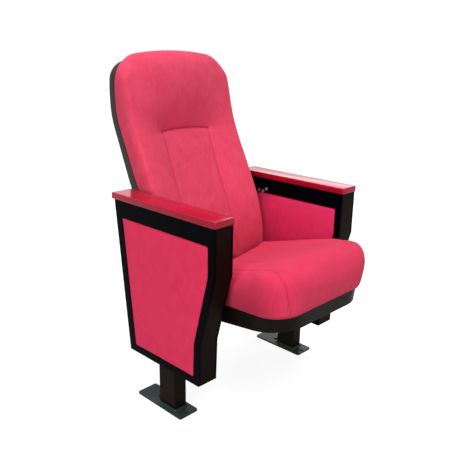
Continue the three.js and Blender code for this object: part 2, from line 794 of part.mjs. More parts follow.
function springLegHole() {
  const radius = SPRING_WIRE + FIT;
  const end = CHEEK_X + SPRING_LEG + FIT;
  return rodX(radius, CHEEK_X - OVERRUN, end, SPRING_RADIUS, HINGE_HEIGHT, SCREW_SIDES);
}

// A coil about the hinge pin that starts with a leg in the bracket.
class SpringPath extends THREE.Curve {
  getPoint(share, target = new THREE.Vector3()) {
    const coilLength = 2 * Math.PI * SPRING_RADIUS * SPRING_TURNS;
    const legLength = SPRING_LEG + SPRING_WIRE;
    const along = share * (legLength + coilLength);
    if (along < legLength) {
      const x = CHEEK_X + SPRING_LEG - along;
      return target.set(x, SPRING_RADIUS, HINGE_HEIGHT);
    }
    const angle = (along - legLength) / SPRING_RADIUS;
    const x = springStart() - SPRING_PITCH * (angle / (2 * Math.PI));
    const y = SPRING_RADIUS * Math.cos(angle);
    return target.set(x, y, HINGE_HEIGHT + SPRING_RADIUS * Math.sin(angle));
  }
}

function returnSpring() {
  const wire = new THREE.Shape().absarc(0, 0, SPRING_WIRE, 0, 2 * Math.PI);
  return new THREE.ExtrudeGeometry(wire, {
    extrudePath: new SpringPath(),
    steps: SPRING_STEPS * SPRING_TURNS + CORNER_STEPS,
    curveSegments: SPRING_SIDES / 2,
  });
}

// Seat hinge: pieces that tip, in the seat's own frame about the hinge

function armWebOuter() {
  return SEAT_HALF - PAN_WALL - PAN_DRAFT - FIT;
}

function hingeArm() {
  const [outer, inner] = [armWebOuter(), armWebOuter() - ARM_WEB];
  const top = BOARD_LOW - FIT;
  const web = box([inner, outer], [-ARM_PLATE_FRONT, ARM_PLATE_REAR], [top - ARM_WEB_HEIGHT, top]);
  const flange = box(
    [outer - ARM_FLANGE_WIDTH, outer],
    [-ARM_PLATE_FRONT, ARM_PLATE_REAR],
    [top - ARM_FLANGE, top],
  );
  const stopPin = rodX(STOP_PIN_RADIUS, inner, PANEL_IN - STOP_PLAY, -STOP_REACH, 0);
  const bushHole = rodX(BUSH_RADIUS + FIT, inner - OVERRUN, outer + OVERRUN, 0, 0, BEARING_SIDES);
  return cut(join(web, flange, stopPin), bushHole);
}

function hingeBush() {
  const [start, end] = [armWebOuter() - BUSH_LENGTH, armWebOuter() + FIT];
  return cut(
    rodX(BUSH_RADIUS, start, end, 0, 0, BEARING_SIDES),
    rodX(PIN_RADIUS + RUNNING_FIT, start - OVERRUN, end + OVERRUN, 0, 0, BEARING_SIDES),
  );
}

// Seat

// The seat's plan, with round corners, as a ring at the height that a function gives.
function planRing(inset, height) {
  const [half, front, rear] = [SEAT_HALF - inset, SEAT_FRONT - inset, SEAT_REAR - inset];
  const corners = [
    { x: half - PAN_REAR_CORNER, y: rear - PAN_REAR_CORNER, radius: PAN_REAR_CORNER },
    { x: -half + PAN_REAR_CORNER, y: rear - PAN_REAR_CORNER, radius: PAN_REAR_CORNER },
    { x: -half + PAN_CORNER, y: -front + PAN_CORNER, radius: PAN_CORNER },
    { x: half - PAN_CORNER, y: -front + PAN_CORNER, radius: PAN_CORNER },
  ];
  return corners.flatMap(({ x, y, radius }, quarter) => (
    Array.from({ length: CORNER_STEPS + 1 }, (_, i) => {
      const angle = (quarter + i / CORNER_STEPS) * (Math.PI / 2);
      const [px, py] = [x + radius * Math.cos(angle), y + radius * Math.sin(angle)];
      return new THREE.Vector3(px, py, height(py));
    })
  ));
}

function panBottom(y) {
  const depth = follow([[-SEAT_FRONT, PAN_FRONT_DEPTH], [SEAT_REAR, PAN_REAR_DEPTH]], y);
  return RIM - depth;
}

function seatPan() {
  const outside = loft([planRing(PAN_DRAFT, panBottom), planRing(0, () => RIM)]);
  const floor = (y) => panBottom(y) + PAN_WALL;
  const inside = loft([planRing(PAN_DRAFT + PAN_WALL, floor), planRing(PAN_WALL, () => RIM + OVERRUN)]);
  const [start, end] = [armWebOuter() - OVERRUN, SEAT_HALF + OVERRUN];
  const holes = [1, -1].flatMap((side) => [
    rodX(BUSH_RADIUS + STOP_PLAY, ...ordered(side * start, side * end), 0, 0),
    rodX(STOP_PIN_RADIUS + STOP_PLAY, ...ordered(side * start, side * end), -STOP_REACH, 0),
  ]);
  return cut(outside, inside, ...holes);
}

function ordered(a, b) {
  return [Math.min(a, b), Math.max(a, b)];
}

function seatBoard() {
  const ring = (height) => planRing(PAN_WALL + PAN_DRAFT + FIT, () => height);
  return loft([ring(BOARD_LOW), ring(RIM)]);
}

// How far the cushion's plan reaches forwards and back at a place across the seat.
function seatReach(x) {
  const half = SEAT_HALF + SEAT_BULGE;
  const reach = (length, radius) => {
    const into = Math.max(Math.abs(x) - (half - radius), 0);
    return length - radius + Math.sqrt(Math.max(radius * radius - into * into, 0));
  };
  return {
    front: reach(SEAT_FRONT + SEAT_BULGE, PAN_CORNER),
    rear: reach(SEAT_REAR - SEAT_REAR_INSET, PAN_REAR_CORNER),
  };
}

function seatPoint(column, row, face) {
  const half = SEAT_HALF + SEAT_BULGE;
  const x = column * half;
  const { front, rear } = seatReach(x);
  const y = rear - (front + rear) * row;
  const rise = follow([[-SEAT_FRONT, SEAT_FRONT_RISE], [SEAT_REAR, SEAT_REAR_RISE]], y);
  const widest = RIM + rise * SEAT_WIDEST_SHARE;
  return new THREE.Vector3(x, y, face({ x, y, front, rear, rise, widest, side: half - Math.abs(x) }));
}

function seatTop({ x, y, front, rear, rise, widest, side }) {
  const crown = follow([[-SEAT_FRONT, SEAT_CROWN], [SEAT_REAR, -SEAT_DISH]], y);
  const top = RIM + rise + crown * (1 - THREE.MathUtils.smoothstep(Math.abs(x), 0, SEAT_HALF));
  const ends = roll(y + front, SEAT_FRONT_ROLL) * roll(rear - y, SEAT_REAR_ROLL);
  return widest + (top - widest) * roll(side, SEAT_SIDE_ROLL) * ends;
}

function seatUnderside({ y, front, rear, widest, side }) {
  const bottom = RIM + FIT;
  const flare = (distance) => 1 - (1 - THREE.MathUtils.clamp(distance / SEAT_FLARE, 0, 1)) ** 2;
  const ends = flare(y + front) * roll(rear - y, SEAT_REAR_INSET);
  return widest + (bottom - widest) * flare(side) * ends;
}

function seatCushion() {
  return slab(
    bothSides(SEAT_COLUMN_SHARES),
    SEAT_ROW_SHARES,
    (column, row) => seatPoint(column, row, seatTop),
    (column, row) => seatPoint(column, row, seatUnderside),
  );
}

// Back

// The places on the back's middle plane: the plane's depth at a height, by share.
function seatLine(share) {
  return BACK_FRONT + BACK_LEAN * smooth(SEAT_LINE_SHARES, share);
}

function shellDepth(share) {
  return SHELL_DEPTH * smooth(SHELL_DEPTH_SHARES, share);
}

function shellSide(height) {
  const share = (height - BACK_BOTTOM) / BACK_HEIGHT;
  return { front: seatLine(share), rear: seatLine(share) + shellDepth(share) };
}

// A place on the outline grid of a piece of the back.
function backPlace(column, row, { top, corner, inset }) {
  const half = BACK_HALF - inset;
  const x = column * half;
  const [topRadius, footRadius] = [corner - inset, BACK_FOOT_CORNER];
  const drop = (radius) => {
    const into = Math.max(Math.abs(x) - (half - radius), 0);
    return radius - Math.sqrt(Math.max(radius * radius - into * into, 0));
  };
  const crown = BACK_TOP_CROWN * (x / half) ** 2;
  const high = top - inset - crown - drop(topRadius) * (1 - crown / topRadius);
  const low = BACK_BOTTOM + inset + drop(footRadius);
  const height = low + (high - low) * row;
  const share = (height - BACK_BOTTOM) / BACK_HEIGHT;
  return { x, height, share, side: half - Math.abs(x), over: high - height, under: height - low };
}

function crownAt(x) {
  return BACK_CROWN * (1 - (x / BACK_HALF) ** 2);
}

// A sheet of the back behind the line where cushion and shell meet: at its depth, or rolled up to a rim.
function backSheet(depthAt, edge, radius = 0, rim = 0) {
  return (column, row) => {
    const { x, height, share, side, over, under } = backPlace(column, row, edge);
    const round = radius ? roll(side, radius) * roll(over, radius) * roll(under, radius) : 1;
    const depth = rim + (depthAt(share) - rim) * round;
    return new THREE.Vector3(x, seatLine(share) + crownAt(x) + depth, height);
  };
}

function shellEdge(inset) {
  return { top: BACK_TOP - SHELL_TOP_DROP, corner: SHELL_TOP_CORNER, inset };
}

function backShell() {
  const grid = [bothSides(SHELL_COLUMN_SHARES), BACK_ROW_SHARES];
  const [outer, inner] = [shellEdge(0), shellEdge(SHELL_WALL)];
  const outside = slab(...grid, backSheet(() => 0, outer), backSheet(shellDepth, outer, SHELL_ROLL));
  const pocketDepth = (share) => shellDepth(share) - SHELL_WALL;
  const inside = slab(
    ...grid,
    backSheet(() => -OVERRUN, inner),
    backSheet(pocketDepth, inner, SHELL_ROLL - SHELL_WALL, SHELL_WALL),
  );
  return cut(outside, inside);
}

function backBoard() {
  const edge = shellEdge(SHELL_WALL + FIT);
  return slab(
    bothSides(SHELL_COLUMN_SHARES),
    BACK_ROW_SHARES,
    backSheet(() => CURVED_FIT, edge),
    backSheet(() => BACK_BOARD, edge, SHELL_ROLL - SHELL_WALL, BOARD_EDGE),
  );
}

// How deep a sewn line draws the cover in, at a distance from it.
function sewn(distance, width, depth) {
  const near = 1 - THREE.MathUtils.clamp(Math.abs(distance) / width, 0, 1);
  return depth * near * near;
}

function cushionFront(column, row) {
  const { x, height, share, side, over, under } = backPlace(column, row, CUSHION_EDGE);
  const across = THREE.MathUtils.smoothstep(BACK_HALF - BACK_SIDE_ROLL - Math.abs(x), 0, DISH_REACH);
  const crease = BACK_FRONT + BACK_LEAN * smooth(CREASE_SHARES, share);
  const inSeams = THREE.MathUtils.smoothstep(SEAM_REACH + SEAM_WIDTH - Math.abs(x), 0, SEAM_WIDTH);
  const tuck = sewn(share - TUCK_SHARE, TUCK_WIDTH_SHARE, TUCK_DEPTH) * inSeams;
  const seam = share < TUCK_SHARE ? sewn(Math.abs(x) - SEAM_REACH, SEAM_WIDTH, SEAM_DEPTH) : 0;
  const front = crease + BACK_DISH * smooth(DISH_SHARES, share) * across + tuck + seam;
  const rear = seatLine(share) + crownAt(x) - CURVED_FIT;
  const round = roll(side, BACK_SIDE_ROLL) * roll(over, BACK_TOP_ROLL) * roll(under, BACK_FOOT_ROLL);
  const lip = rear - SHELL_WALL / 2;
  return new THREE.Vector3(x, lip + (front - lip) * round, height);
}

function backCushion() {
  return slab(
    bothSides(CUSHION_COLUMN_SHARES),
    BACK_ROW_SHARES,
    cushionFront,
    backSheet(() => -CURVED_FIT, CUSHION_EDGE),
  );
}

// Assembly

function addSides() {
  addPair(fixedGroup, 'floor_plate', floorPlate(), PLATE_STEEL);
  Object.entries(anchorPlaces()).forEach(([name, y]) => {
    addPair(fixedGroup, `anchor_screw_${name}`, anchorScrew(y), PLATE_STEEL);
  });
  addPair(fixedGroup, 'post', post(), PAINTED_STEEL);
  addPair(fixedGroup, 'foot_weld', footWeld(), PLATE_STEEL);
  addPair(fixedGroup, 'top_rail', topRail(), PAINTED_STEEL);
  addPair(fixedGroup, 'back_stay', backStay(), PAINTED_STEEL);
  addPair(fixedGroup, 'panel_band', panelBand(), PANEL_BLACK);
  addPair(fixedGroup, 'outer_cover', outerCover(), PANEL_BLACK);
  addPair(fixedGroup, 'inner_cover', innerCover(), PANEL_BLACK);
  addPair(fixedGroup, 'outer_pad', outerPad(), FABRIC);
  addPair(fixedGroup, 'inner_pad', innerPad(), FABRIC);
  addPair(fixedGroup, 'arm_cap', armCap(), ARM_RED);
  const [front, rear] = armScrewPlaces();
  addPair(fixedGroup, 'arm_screw_front', armScrew(front), BARE_STEEL);
  addPair(fixedGroup, 'arm_screw_rear', armScrew(rear), BARE_STEEL);
}

function addHinges() {
  addPair(fixedGroup, 'hinge_bracket', hingeBracket(), PAINTED_STEEL);
  addPair(fixedGroup, 'hinge_pin', hingePin(), BARE_STEEL);
  addPair(fixedGroup, 'stop_buffer', stopBuffer(), BUFFER_RUBBER);
  addPair(fixedGroup, 'return_spring', returnSpring(), BARE_STEEL);
  addPair(tipUpGroup, 'hinge_arm', hingeArm(), PAINTED_STEEL);
  addPair(tipUpGroup, 'hinge_bush', hingeBush(), NYLON);
}

function addSeat() {
  addPiece(tipUpGroup, 'seat_pan', seatPan(), SHELL_BLACK);
  addPiece(tipUpGroup, 'seat_board', seatBoard(), PLYWOOD);
  addPiece(tipUpGroup, 'seat_cushion', seatCushion(), FABRIC);
}

function addBack() {
  addPiece(fixedGroup, 'back_shell', backShell(), SHELL_BLACK);
  addPiece(fixedGroup, 'back_board', backBoard(), PLYWOOD);
  addPiece(fixedGroup, 'back_cushion', backCushion(), FABRIC);
  addPair(fixedGroup, 'back_bracket', backBracket(), PAINTED_STEEL);
  BOLTS.forEach((bolt) => {
    addPair(fixedGroup, `back_bolt_${bolt.name}`, backBolt(bolt), BARE_STEEL);
  });
}

// Puts the middle of the seat's depth over the origin.
function centre() {
  seatModel.updateMatrixWorld(true);
  const bounds = new THREE.Box3().setFromObject(seatModel, true);
  seatModel.position.y = -bounds.getCenter(new THREE.Vector3()).y;
  seatModel.updateMatrixWorld(true);
}

addSides();
addHinges();
addSeat();
addBack();
centre();

export default seatModel;
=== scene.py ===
"""Looks of a tip-up auditorium seat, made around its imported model.

The sitter faces -Y, +Z is up and +X is the sitter's left. Lengths are in metres. Depths along Y are counted
from the seat hinge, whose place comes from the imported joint.
"""

import json
import logging
import math
from dataclasses import dataclass, replace
from enum import Enum
from typing import Callable, Iterable, Sequence

import bpy
import numpy as np
from mathutils import Matrix, Vector


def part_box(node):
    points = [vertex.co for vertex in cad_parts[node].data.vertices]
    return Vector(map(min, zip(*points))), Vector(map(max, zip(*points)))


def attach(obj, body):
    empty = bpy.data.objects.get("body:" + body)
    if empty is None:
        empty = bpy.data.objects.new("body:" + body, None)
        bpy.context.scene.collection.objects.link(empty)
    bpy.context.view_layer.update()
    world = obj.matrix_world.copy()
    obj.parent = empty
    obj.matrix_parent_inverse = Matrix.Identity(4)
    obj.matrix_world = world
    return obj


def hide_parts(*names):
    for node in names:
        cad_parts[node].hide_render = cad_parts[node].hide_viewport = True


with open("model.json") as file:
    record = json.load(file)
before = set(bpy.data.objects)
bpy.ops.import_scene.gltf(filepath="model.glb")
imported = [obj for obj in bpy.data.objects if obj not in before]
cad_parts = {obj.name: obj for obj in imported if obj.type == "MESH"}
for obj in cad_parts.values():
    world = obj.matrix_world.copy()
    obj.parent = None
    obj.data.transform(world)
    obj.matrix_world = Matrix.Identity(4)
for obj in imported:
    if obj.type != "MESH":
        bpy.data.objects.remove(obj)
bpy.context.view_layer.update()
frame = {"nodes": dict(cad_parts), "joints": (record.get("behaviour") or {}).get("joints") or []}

LOG = logging.getLogger("auditorium_seat")
HINGE = Vector(frame["joints"][0]["pos_m"])
SIDES = ("left", "right")
Colour = tuple[float, float, float]
Levels = tuple[int, int, int]
Points = np.ndarray
Item = bpy.types.Object
Socket = bpy.types.NodeSocket
RIM_MERGE = 0.00005
NODE_MERGE = 0.00002
FLAT_ANGLE = math.radians(0.6)


# Colours


def from_screen(levels: Levels) -> Colour:
    """Turn screen levels into the linear colour that a shader takes.

    Args:
        levels: red, green and blue, each from 0 to 255.

    Returns:
        The linear red, green and blue.
    """
    shares = [level / 255 for level in levels]
    return tuple(share / 12.92 if share <= 0.04045 else ((share + 0.055) / 1.055) ** 2.4 for share in shares)


# Work in the editor


def mode(name: str) -> None:
    """Go to edit mode or to object mode."""
    bpy.ops.object.mode_set(mode=name)


def deselect() -> None:
    """Select no object."""
    bpy.ops.object.select_all(action="DESELECT")


def pick(*objects: Item) -> None:
    """Select these objects and nothing else.

    Args:
        objects: what to select; the first becomes the active one.
    """
    if bpy.context.object and bpy.context.object.mode != "OBJECT":
        mode("OBJECT")
    deselect()
    for item in objects:
        item.select_set(True)
    bpy.context.view_layer.objects.active = objects[0]


def added(name: str) -> Item:
    """Name the primitive that was just added.

    Args:
        name: the piece's name.

    Returns:
        The new object, with its place moved into its mesh.
    """
    piece = bpy.context.object
    piece.name = name
    piece.data.name = name
    pick(piece)
    bpy.ops.object.transform_apply(location=True, rotation=True, scale=True)
    return piece


def add_block(name: str, low: Sequence[float], high: Sequence[float]) -> Item:
    """Add a cube that is sized to a box.

    Args:
        name: the piece's name.
        low: the box's lowest corner.
        high: the box's highest corner.

    Returns:
        The block.
    """
    lowest, highest = Vector(low), Vector(high)
    deselect()
    bpy.ops.mesh.primitive_cube_add(size=1, location=(lowest + highest) / 2)
    bpy.context.object.scale = highest - lowest
    return added(name)


def add_rod(name: str, radius: float, start: Vector, end: Vector, sides: int) -> Item:
    """Add a cylinder between two points.

    Args:
        name: the piece's name.
        radius: its radius.
        start: the middle of one end.
        end: the middle of the other end.
        sides: how many sides it has.

    Returns:
        The rod.
    """
    along = end - start
    deselect()
    bpy.ops.mesh.primitive_cylinder_add(
        vertices=sides, radius=radius, depth=along.length, location=(start + end) / 2,
        rotation=along.to_track_quat("Z", "Y").to_euler(),
    )
    return added(name)


def select_edges(piece: Item, wanted: Callable[[Vector, Vector], bool]) -> None:
    """Go to edit mode with the wanted edges selected.

    Args:
        piece: the mesh object.
        wanted: told an edge's two ends, says whether it is selected.
    """
    pick(piece)
    mode("EDIT")
    bpy.ops.mesh.select_mode(type="EDGE")
    bpy.ops.mesh.select_all(action="DESELECT")
    mode("OBJECT")
    points = piece.data.vertices
    for edge in piece.data.edges:
        edge.select = wanted(*(points[i].co for i in edge.vertices))
    mode("EDIT")


def edit_all(piece: Item, *steps: Callable[[], object]) -> None:
    """Run editor steps on the whole of a piece's mesh.

    Args:
        piece: the mesh object.
        steps: the steps, in order.
    """
    pick(piece)
    mode("EDIT")
    bpy.ops.mesh.select_all(action="SELECT")
    for step in steps:
        step()
    mode("OBJECT")


def face_outwards() -> None:
    """Make the selected faces look outwards."""
    bpy.ops.mesh.normals_make_consistent(inside=False)


def show(name: str, data: bpy.types.ID) -> Item:
    """Return a new object of the scene that holds these data."""
    item = bpy.data.objects.new(name, data)
    bpy.context.scene.collection.objects.link(item)
    return item


def finish_modifier(piece: Item, modifier: bpy.types.Modifier) -> None:
    """Apply a modifier.

    Args:
        piece: the object that has it.
        modifier: the modifier.
    """
    pick(piece)
    bpy.ops.object.modifier_apply(modifier=modifier.name)


def modify(piece: Item, kind: str, **settings: object) -> None:
    """Add a modifier, set it up and apply it.

    Args:
        piece: the mesh object.
        kind: the modifier's type.
        settings: its settings by name.
    """
    modifier = piece.modifiers.new(kind.lower(), kind)
    for name, value in settings.items():
        setattr(modifier, name, value)
    finish_modifier(piece, modifier)


def soften_edges(piece: Item, width: float, segments: int = 2, angle: float = 30) -> None:
    """Round the piece's sharp edges.

    Args:
        piece: the mesh object.
        width: how wide the rounding is.
        segments: how many faces it gets.
        angle: the least angle of an edge that is rounded, in degrees.
    """
    modify(
        piece, "BEVEL", width=width, segments=segments, limit_method="ANGLE", angle_limit=math.radians(angle),
        use_clamp_overlap=True, harden_normals=False,
    )


def carve(piece: Item, tool: Item) -> None:
    """Cut a tool's shape out of a piece and remove the tool."""
    modify(piece, "BOOLEAN", operation="DIFFERENCE", solver="EXACT", object=tool)
    bpy.data.objects.remove(tool)


def shade(piece: Item, angle: float) -> None:
    """Shade a piece smooth, apart from its sharp edges.

    Args:
        piece: the mesh object.
        angle: the angle from which an edge stays sharp, in degrees.
    """
    pick(piece)
    bpy.ops.object.shade_smooth_by_angle(angle=math.radians(angle))


def read_points(piece: Item) -> Points:
    """Return the piece's points, one in a row."""
    points = np.zeros(len(piece.data.vertices) * 3)
    piece.data.vertices.foreach_get("co", points)
    return points.reshape(-1, 3)


def write_points(piece: Item, points: Points) -> None:
    """Move the piece's points to new places."""
    piece.data.vertices.foreach_set("co", points.ravel())
    piece.data.update()


def read_normals(piece: Item) -> Points:
    """Return the normals of the piece's points, one in a row."""
    normals = np.zeros(len(piece.data.vertices) * 3)
    piece.data.vertex_normals.foreach_get("vector", normals)
    return normals.reshape(-1, 3)


# Shader building


class Nodes:
    """Adds nodes to one tree and joins them."""

    def __init__(self, tree: bpy.types.NodeTree) -> None:
        """Take the tree that the nodes go into."""
        self.tree = tree

    def add(self, kind: str, values: dict | None = None, **settings: object) -> bpy.types.Node:
        """Add a node.

        Args:
            kind: the node's type name.
            values: its inputs by name or number, each a socket to join or a value.
            settings: the node's own settings.

        Returns:
            The node.
        """
        node = self.tree.nodes.new(kind)
        for name, value in settings.items():
            setattr(node, name, value)
        for key, value in (values or {}).items():
            self.put(node.inputs[key], value)
        return node

    def put(self, socket: Socket, value: object) -> None:
        """Join a socket to another or give it a value."""
        if isinstance(value, Socket):
            self.tree.links.new(value, socket)
        elif isinstance(value, tuple) and socket.type == "RGBA":
            socket.default_value = (*value, 1)
        else:
            socket.default_value = value

    def maths(self, operation: str, *values: object) -> Socket:
        """Add a sum and return its result.

        Args:
            operation: the sum's name.
            values: its one to three inputs.

        Returns:
            The result's socket.
        """
        node = self.add("ShaderNodeMath", dict(enumerate(values)), operation=operation)
        return node.outputs[0]

    def noise(self, place: object, scale: float, detail: float = 2, rough: float = 0.5) -> Socket:
        """Add cloudy noise.

        Args:
            place: the coordinates.
            scale: waves in a metre.
            detail: how many finer layers it has.
            rough: how strong these are.

        Returns:
            The noise, about 0.5.
        """
        values = {"Vector": place, "Scale": scale, "Detail": detail, "Roughness": rough}
        return self.add("ShaderNodeTexNoise", values).outputs[0]

    def fit(self, value: object, low: float, high: float, start: float, end: float) -> Socket:
        """Map a value from one range to another and keep it there."""
        return self.add("ShaderNodeMapRange", {0: value, 1: low, 2: high, 3: start, 4: end}).outputs[0]

    def blend(self, share: object, first: object, second: object) -> Socket:
        """Mix two colours and return the result."""
        return self.add("ShaderNodeMix", {0: share, 6: first, 7: second}, data_type="RGBA").outputs[2]


def new_group(
    name: str, inputs: Iterable[tuple[str, float]], outputs: Iterable[str],
) -> tuple[Nodes, dict, bpy.types.Node]:
    """Start a shader node group.

    Args:
        name: the group's name.
        inputs: each input's name and value.
        outputs: the outputs' names.

    Returns:
        The group's node builder, its inputs by name, and its output node.
    """
    tree = bpy.data.node_groups.new(name, "ShaderNodeTree")
    for title, value in inputs:
        socket = tree.interface.new_socket(title, in_out="INPUT", socket_type="NodeSocketFloat")
        socket.default_value = value
    for title in outputs:
        tree.interface.new_socket(title, in_out="OUTPUT", socket_type="NodeSocketFloat")
    nodes = Nodes(tree)
    source = nodes.add("NodeGroupInput")
    return nodes, {socket.name: socket for socket in source.outputs if socket.name}, nodes.add("NodeGroupOutput")


class Pattern(Enum):
    """The surface patterns that the finishes use."""

    WEAVE = "cloth_weave"
    GRAIN = "moulded_grain"
    PAINT = "paint_film"
    BRUSHED = "brushed_lines"
    VENEER = "wood_veneer"


def make_weave() -> None:
    """Make the woven cloth's group: threads over and under on every side of a piece, and uneven dye."""
    nodes, given, out = new_group(Pattern.WEAVE.value, [("Size", 0.002), ("Turn", 0.0)], ["Mask", "Height"])
    place = nodes.add("ShaderNodeTexCoord")
    turns = nodes.maths("DIVIDE", 2 * math.pi, given["Size"])
    scaled = nodes.add("ShaderNodeVectorMath", {0: place.outputs["Object"], 3: turns}, operation="SCALE")
    axes = nodes.add("ShaderNodeSeparateXYZ", {0: scaled.outputs[0]})
    facing = nodes.add("ShaderNodeSeparateXYZ", {0: place.outputs["Normal"]})
    waves = [nodes.maths("SINE", axes.outputs[i]) for i in range(3)]
    threads = 0.0
    for i in range(3):
        crossing = nodes.maths("MULTIPLY", waves[(i + 1) % 3], waves[(i + 2) % 3])
        turned = nodes.maths("MULTIPLY", facing.outputs[i], facing.outputs[i])
        threads = nodes.maths("MULTIPLY_ADD", crossing, turned, threads)
    slub = nodes.noise(place.outputs["Object"], 420, 3, 0.7)
    cloud = nodes.noise(place.outputs["Object"], 26, 3, 0.6)
    wale = nodes.noise(wale_place(nodes, place.outputs["Object"], given["Turn"]), 1, 3, 0.65)
    height = nodes.maths("MULTIPLY_ADD", slub, 0.9, nodes.maths("MULTIPLY", threads, 0.5))
    dye = nodes.fit(cloud, 0.35, 0.65, 0.3, 0.7)
    speck = nodes.maths("MULTIPLY_ADD", nodes.maths("SUBTRACT", slub, 0.5), 1.2, dye)
    lined = nodes.maths("MULTIPLY_ADD", nodes.maths("SUBTRACT", wale, 0.5), 1.6, speck)
    nodes.put(out.inputs["Mask"], nodes.maths("MULTIPLY_ADD", threads, 0.12, lined))
    nodes.put(out.inputs["Height"], nodes.maths("MULTIPLY_ADD", wale, 0.5, height))


def wale_place(nodes: Nodes, place: Socket, turn: Socket) -> Socket:
    """Stretch the coordinates along the cloth's wales.

    Args:
        nodes: the group's node builder.
        place: the piece's own coordinates.
        turn: 0 where the wales cross X, 1 where they cross Y.

    Returns:
        The stretched coordinates.
    """
    axes = nodes.add("ShaderNodeSeparateXYZ", {0: place}).outputs
    across = nodes.maths("MULTIPLY_ADD", turn, nodes.maths("SUBTRACT", axes[1], axes[0]), axes[0])
    other = nodes.maths("MULTIPLY", nodes.maths("SUBTRACT", 1, turn), axes[1])
    along = nodes.maths("ADD", axes[2], other)
    return nodes.add("ShaderNodeCombineXYZ", {
        0: nodes.maths("MULTIPLY", across, 300), 1: nodes.maths("MULTIPLY", along, 24),
    }).outputs[0]


def make_grain() -> None:
    """Make the moulded plastic's group: fine pebble grain and faint flow marks."""
    nodes, given, out = new_group(Pattern.GRAIN.value, [("Size", 0.001)], ["Mask", "Height"])
    place = nodes.add("ShaderNodeTexCoord").outputs["Object"]
    scale = nodes.maths("DIVIDE", 1, given["Size"])
    pebbles = nodes.add("ShaderNodeTexVoronoi", {"Vector": place, "Scale": scale}).outputs["Distance"]
    marks = nodes.noise(place, 9, 3, 0.6)
    nodes.put(out.inputs["Mask"], nodes.fit(marks, 0.35, 0.65, 0, 1))
    nodes.put(out.inputs["Height"], nodes.maths("MULTIPLY_ADD", nodes.noise(place, 160), 0.5, pebbles))


def make_paint() -> None:
    """Make the paint film's group: orange peel, and a painted lighter tone, in patches, on what faces up."""
    nodes, given, out = new_group(Pattern.PAINT.value, [("Size", 0.003)], ["Mask", "Height"])
    place = nodes.add("ShaderNodeTexCoord")
    scale = nodes.maths("DIVIDE", 1, given["Size"])
    peel = nodes.noise(place.outputs["Object"], scale, 1, 0.4)
    # painted top light: faces that point up take the second colour, as if lit from above
    upwards = nodes.add("ShaderNodeSeparateXYZ", {0: place.outputs["Normal"]}).outputs[2]
    top_light_patches = nodes.maths("MULTIPLY_ADD", nodes.noise(place.outputs["Object"], 26, 4, 0.7), 0.5, 0.4)
    painted_top_light = nodes.maths("MULTIPLY", nodes.fit(upwards, 0.2, 1, 0, 1), top_light_patches)
    cloud = nodes.fit(nodes.noise(place.outputs["Object"], 7, 2), 0.35, 0.65, 0, 0.35)
    nodes.put(out.inputs["Mask"], nodes.maths("ADD", cloud, painted_top_light))
    nodes.put(out.inputs["Height"], peel)


def make_brushed() -> None:
    """Make the bare metal's group: fine lines drawn along X."""
    nodes, given, out = new_group(Pattern.BRUSHED.value, [("Size", 0.0004)], ["Mask", "Height"])
    place = nodes.add("ShaderNodeTexCoord").outputs["Object"]
    scale = nodes.maths("DIVIDE", 1, given["Size"])
    drawn = nodes.add("ShaderNodeMapping", {"Vector": place, "Scale": (0.05, 1, 1)}).outputs[0]
    lines = nodes.noise(drawn, scale, 3, 0.6)
    nodes.put(out.inputs["Mask"], lines)
    nodes.put(out.inputs["Height"], lines)


def make_veneer() -> None:
    """Make the wood's group: growth lines drawn along Z, with pores."""
    nodes, given, out = new_group(Pattern.VENEER.value, [("Size", 0.02)], ["Mask", "Height"])
    place = nodes.add("ShaderNodeTexCoord").outputs["Object"]
    drawn = nodes.add("ShaderNodeMapping", {"Vector": place, "Scale": (1, 1, 0.08)}).outputs[0]
    scale = nodes.maths("DIVIDE", 1, given["Size"])
    rings = nodes.add("ShaderNodeTexWave", {"Vector": drawn, "Scale": scale, "Distortion": 6, "Detail": 3}).outputs[1]
    pores = nodes.noise(drawn, 900, 2, 0.6)
    nodes.put(out.inputs["Mask"], nodes.maths("MULTIPLY_ADD", pores, 0.4, nodes.maths("MULTIPLY", rings, 0.6)))
    nodes.put(out.inputs["Height"], nodes.maths("MULTIPLY_ADD", rings, 0.3, pores))


def make_seams_and_shade() -> None:
    """Make the group of seams and painted shade: how far a point is into a seam or into painted shade, from the
    mesh's own values.
    """
    nodes, given, out = new_group("seam_and_shade_line", [("Strength", 1.0)], ["Mask"])
    value = nodes.add("ShaderNodeAttribute", attribute_name="sewn").outputs["Fac"]
    nodes.put(out.inputs["Mask"], nodes.maths("MULTIPLY", value, given["Strength"]))


SHEEN_ROUGHNESS = 0.45


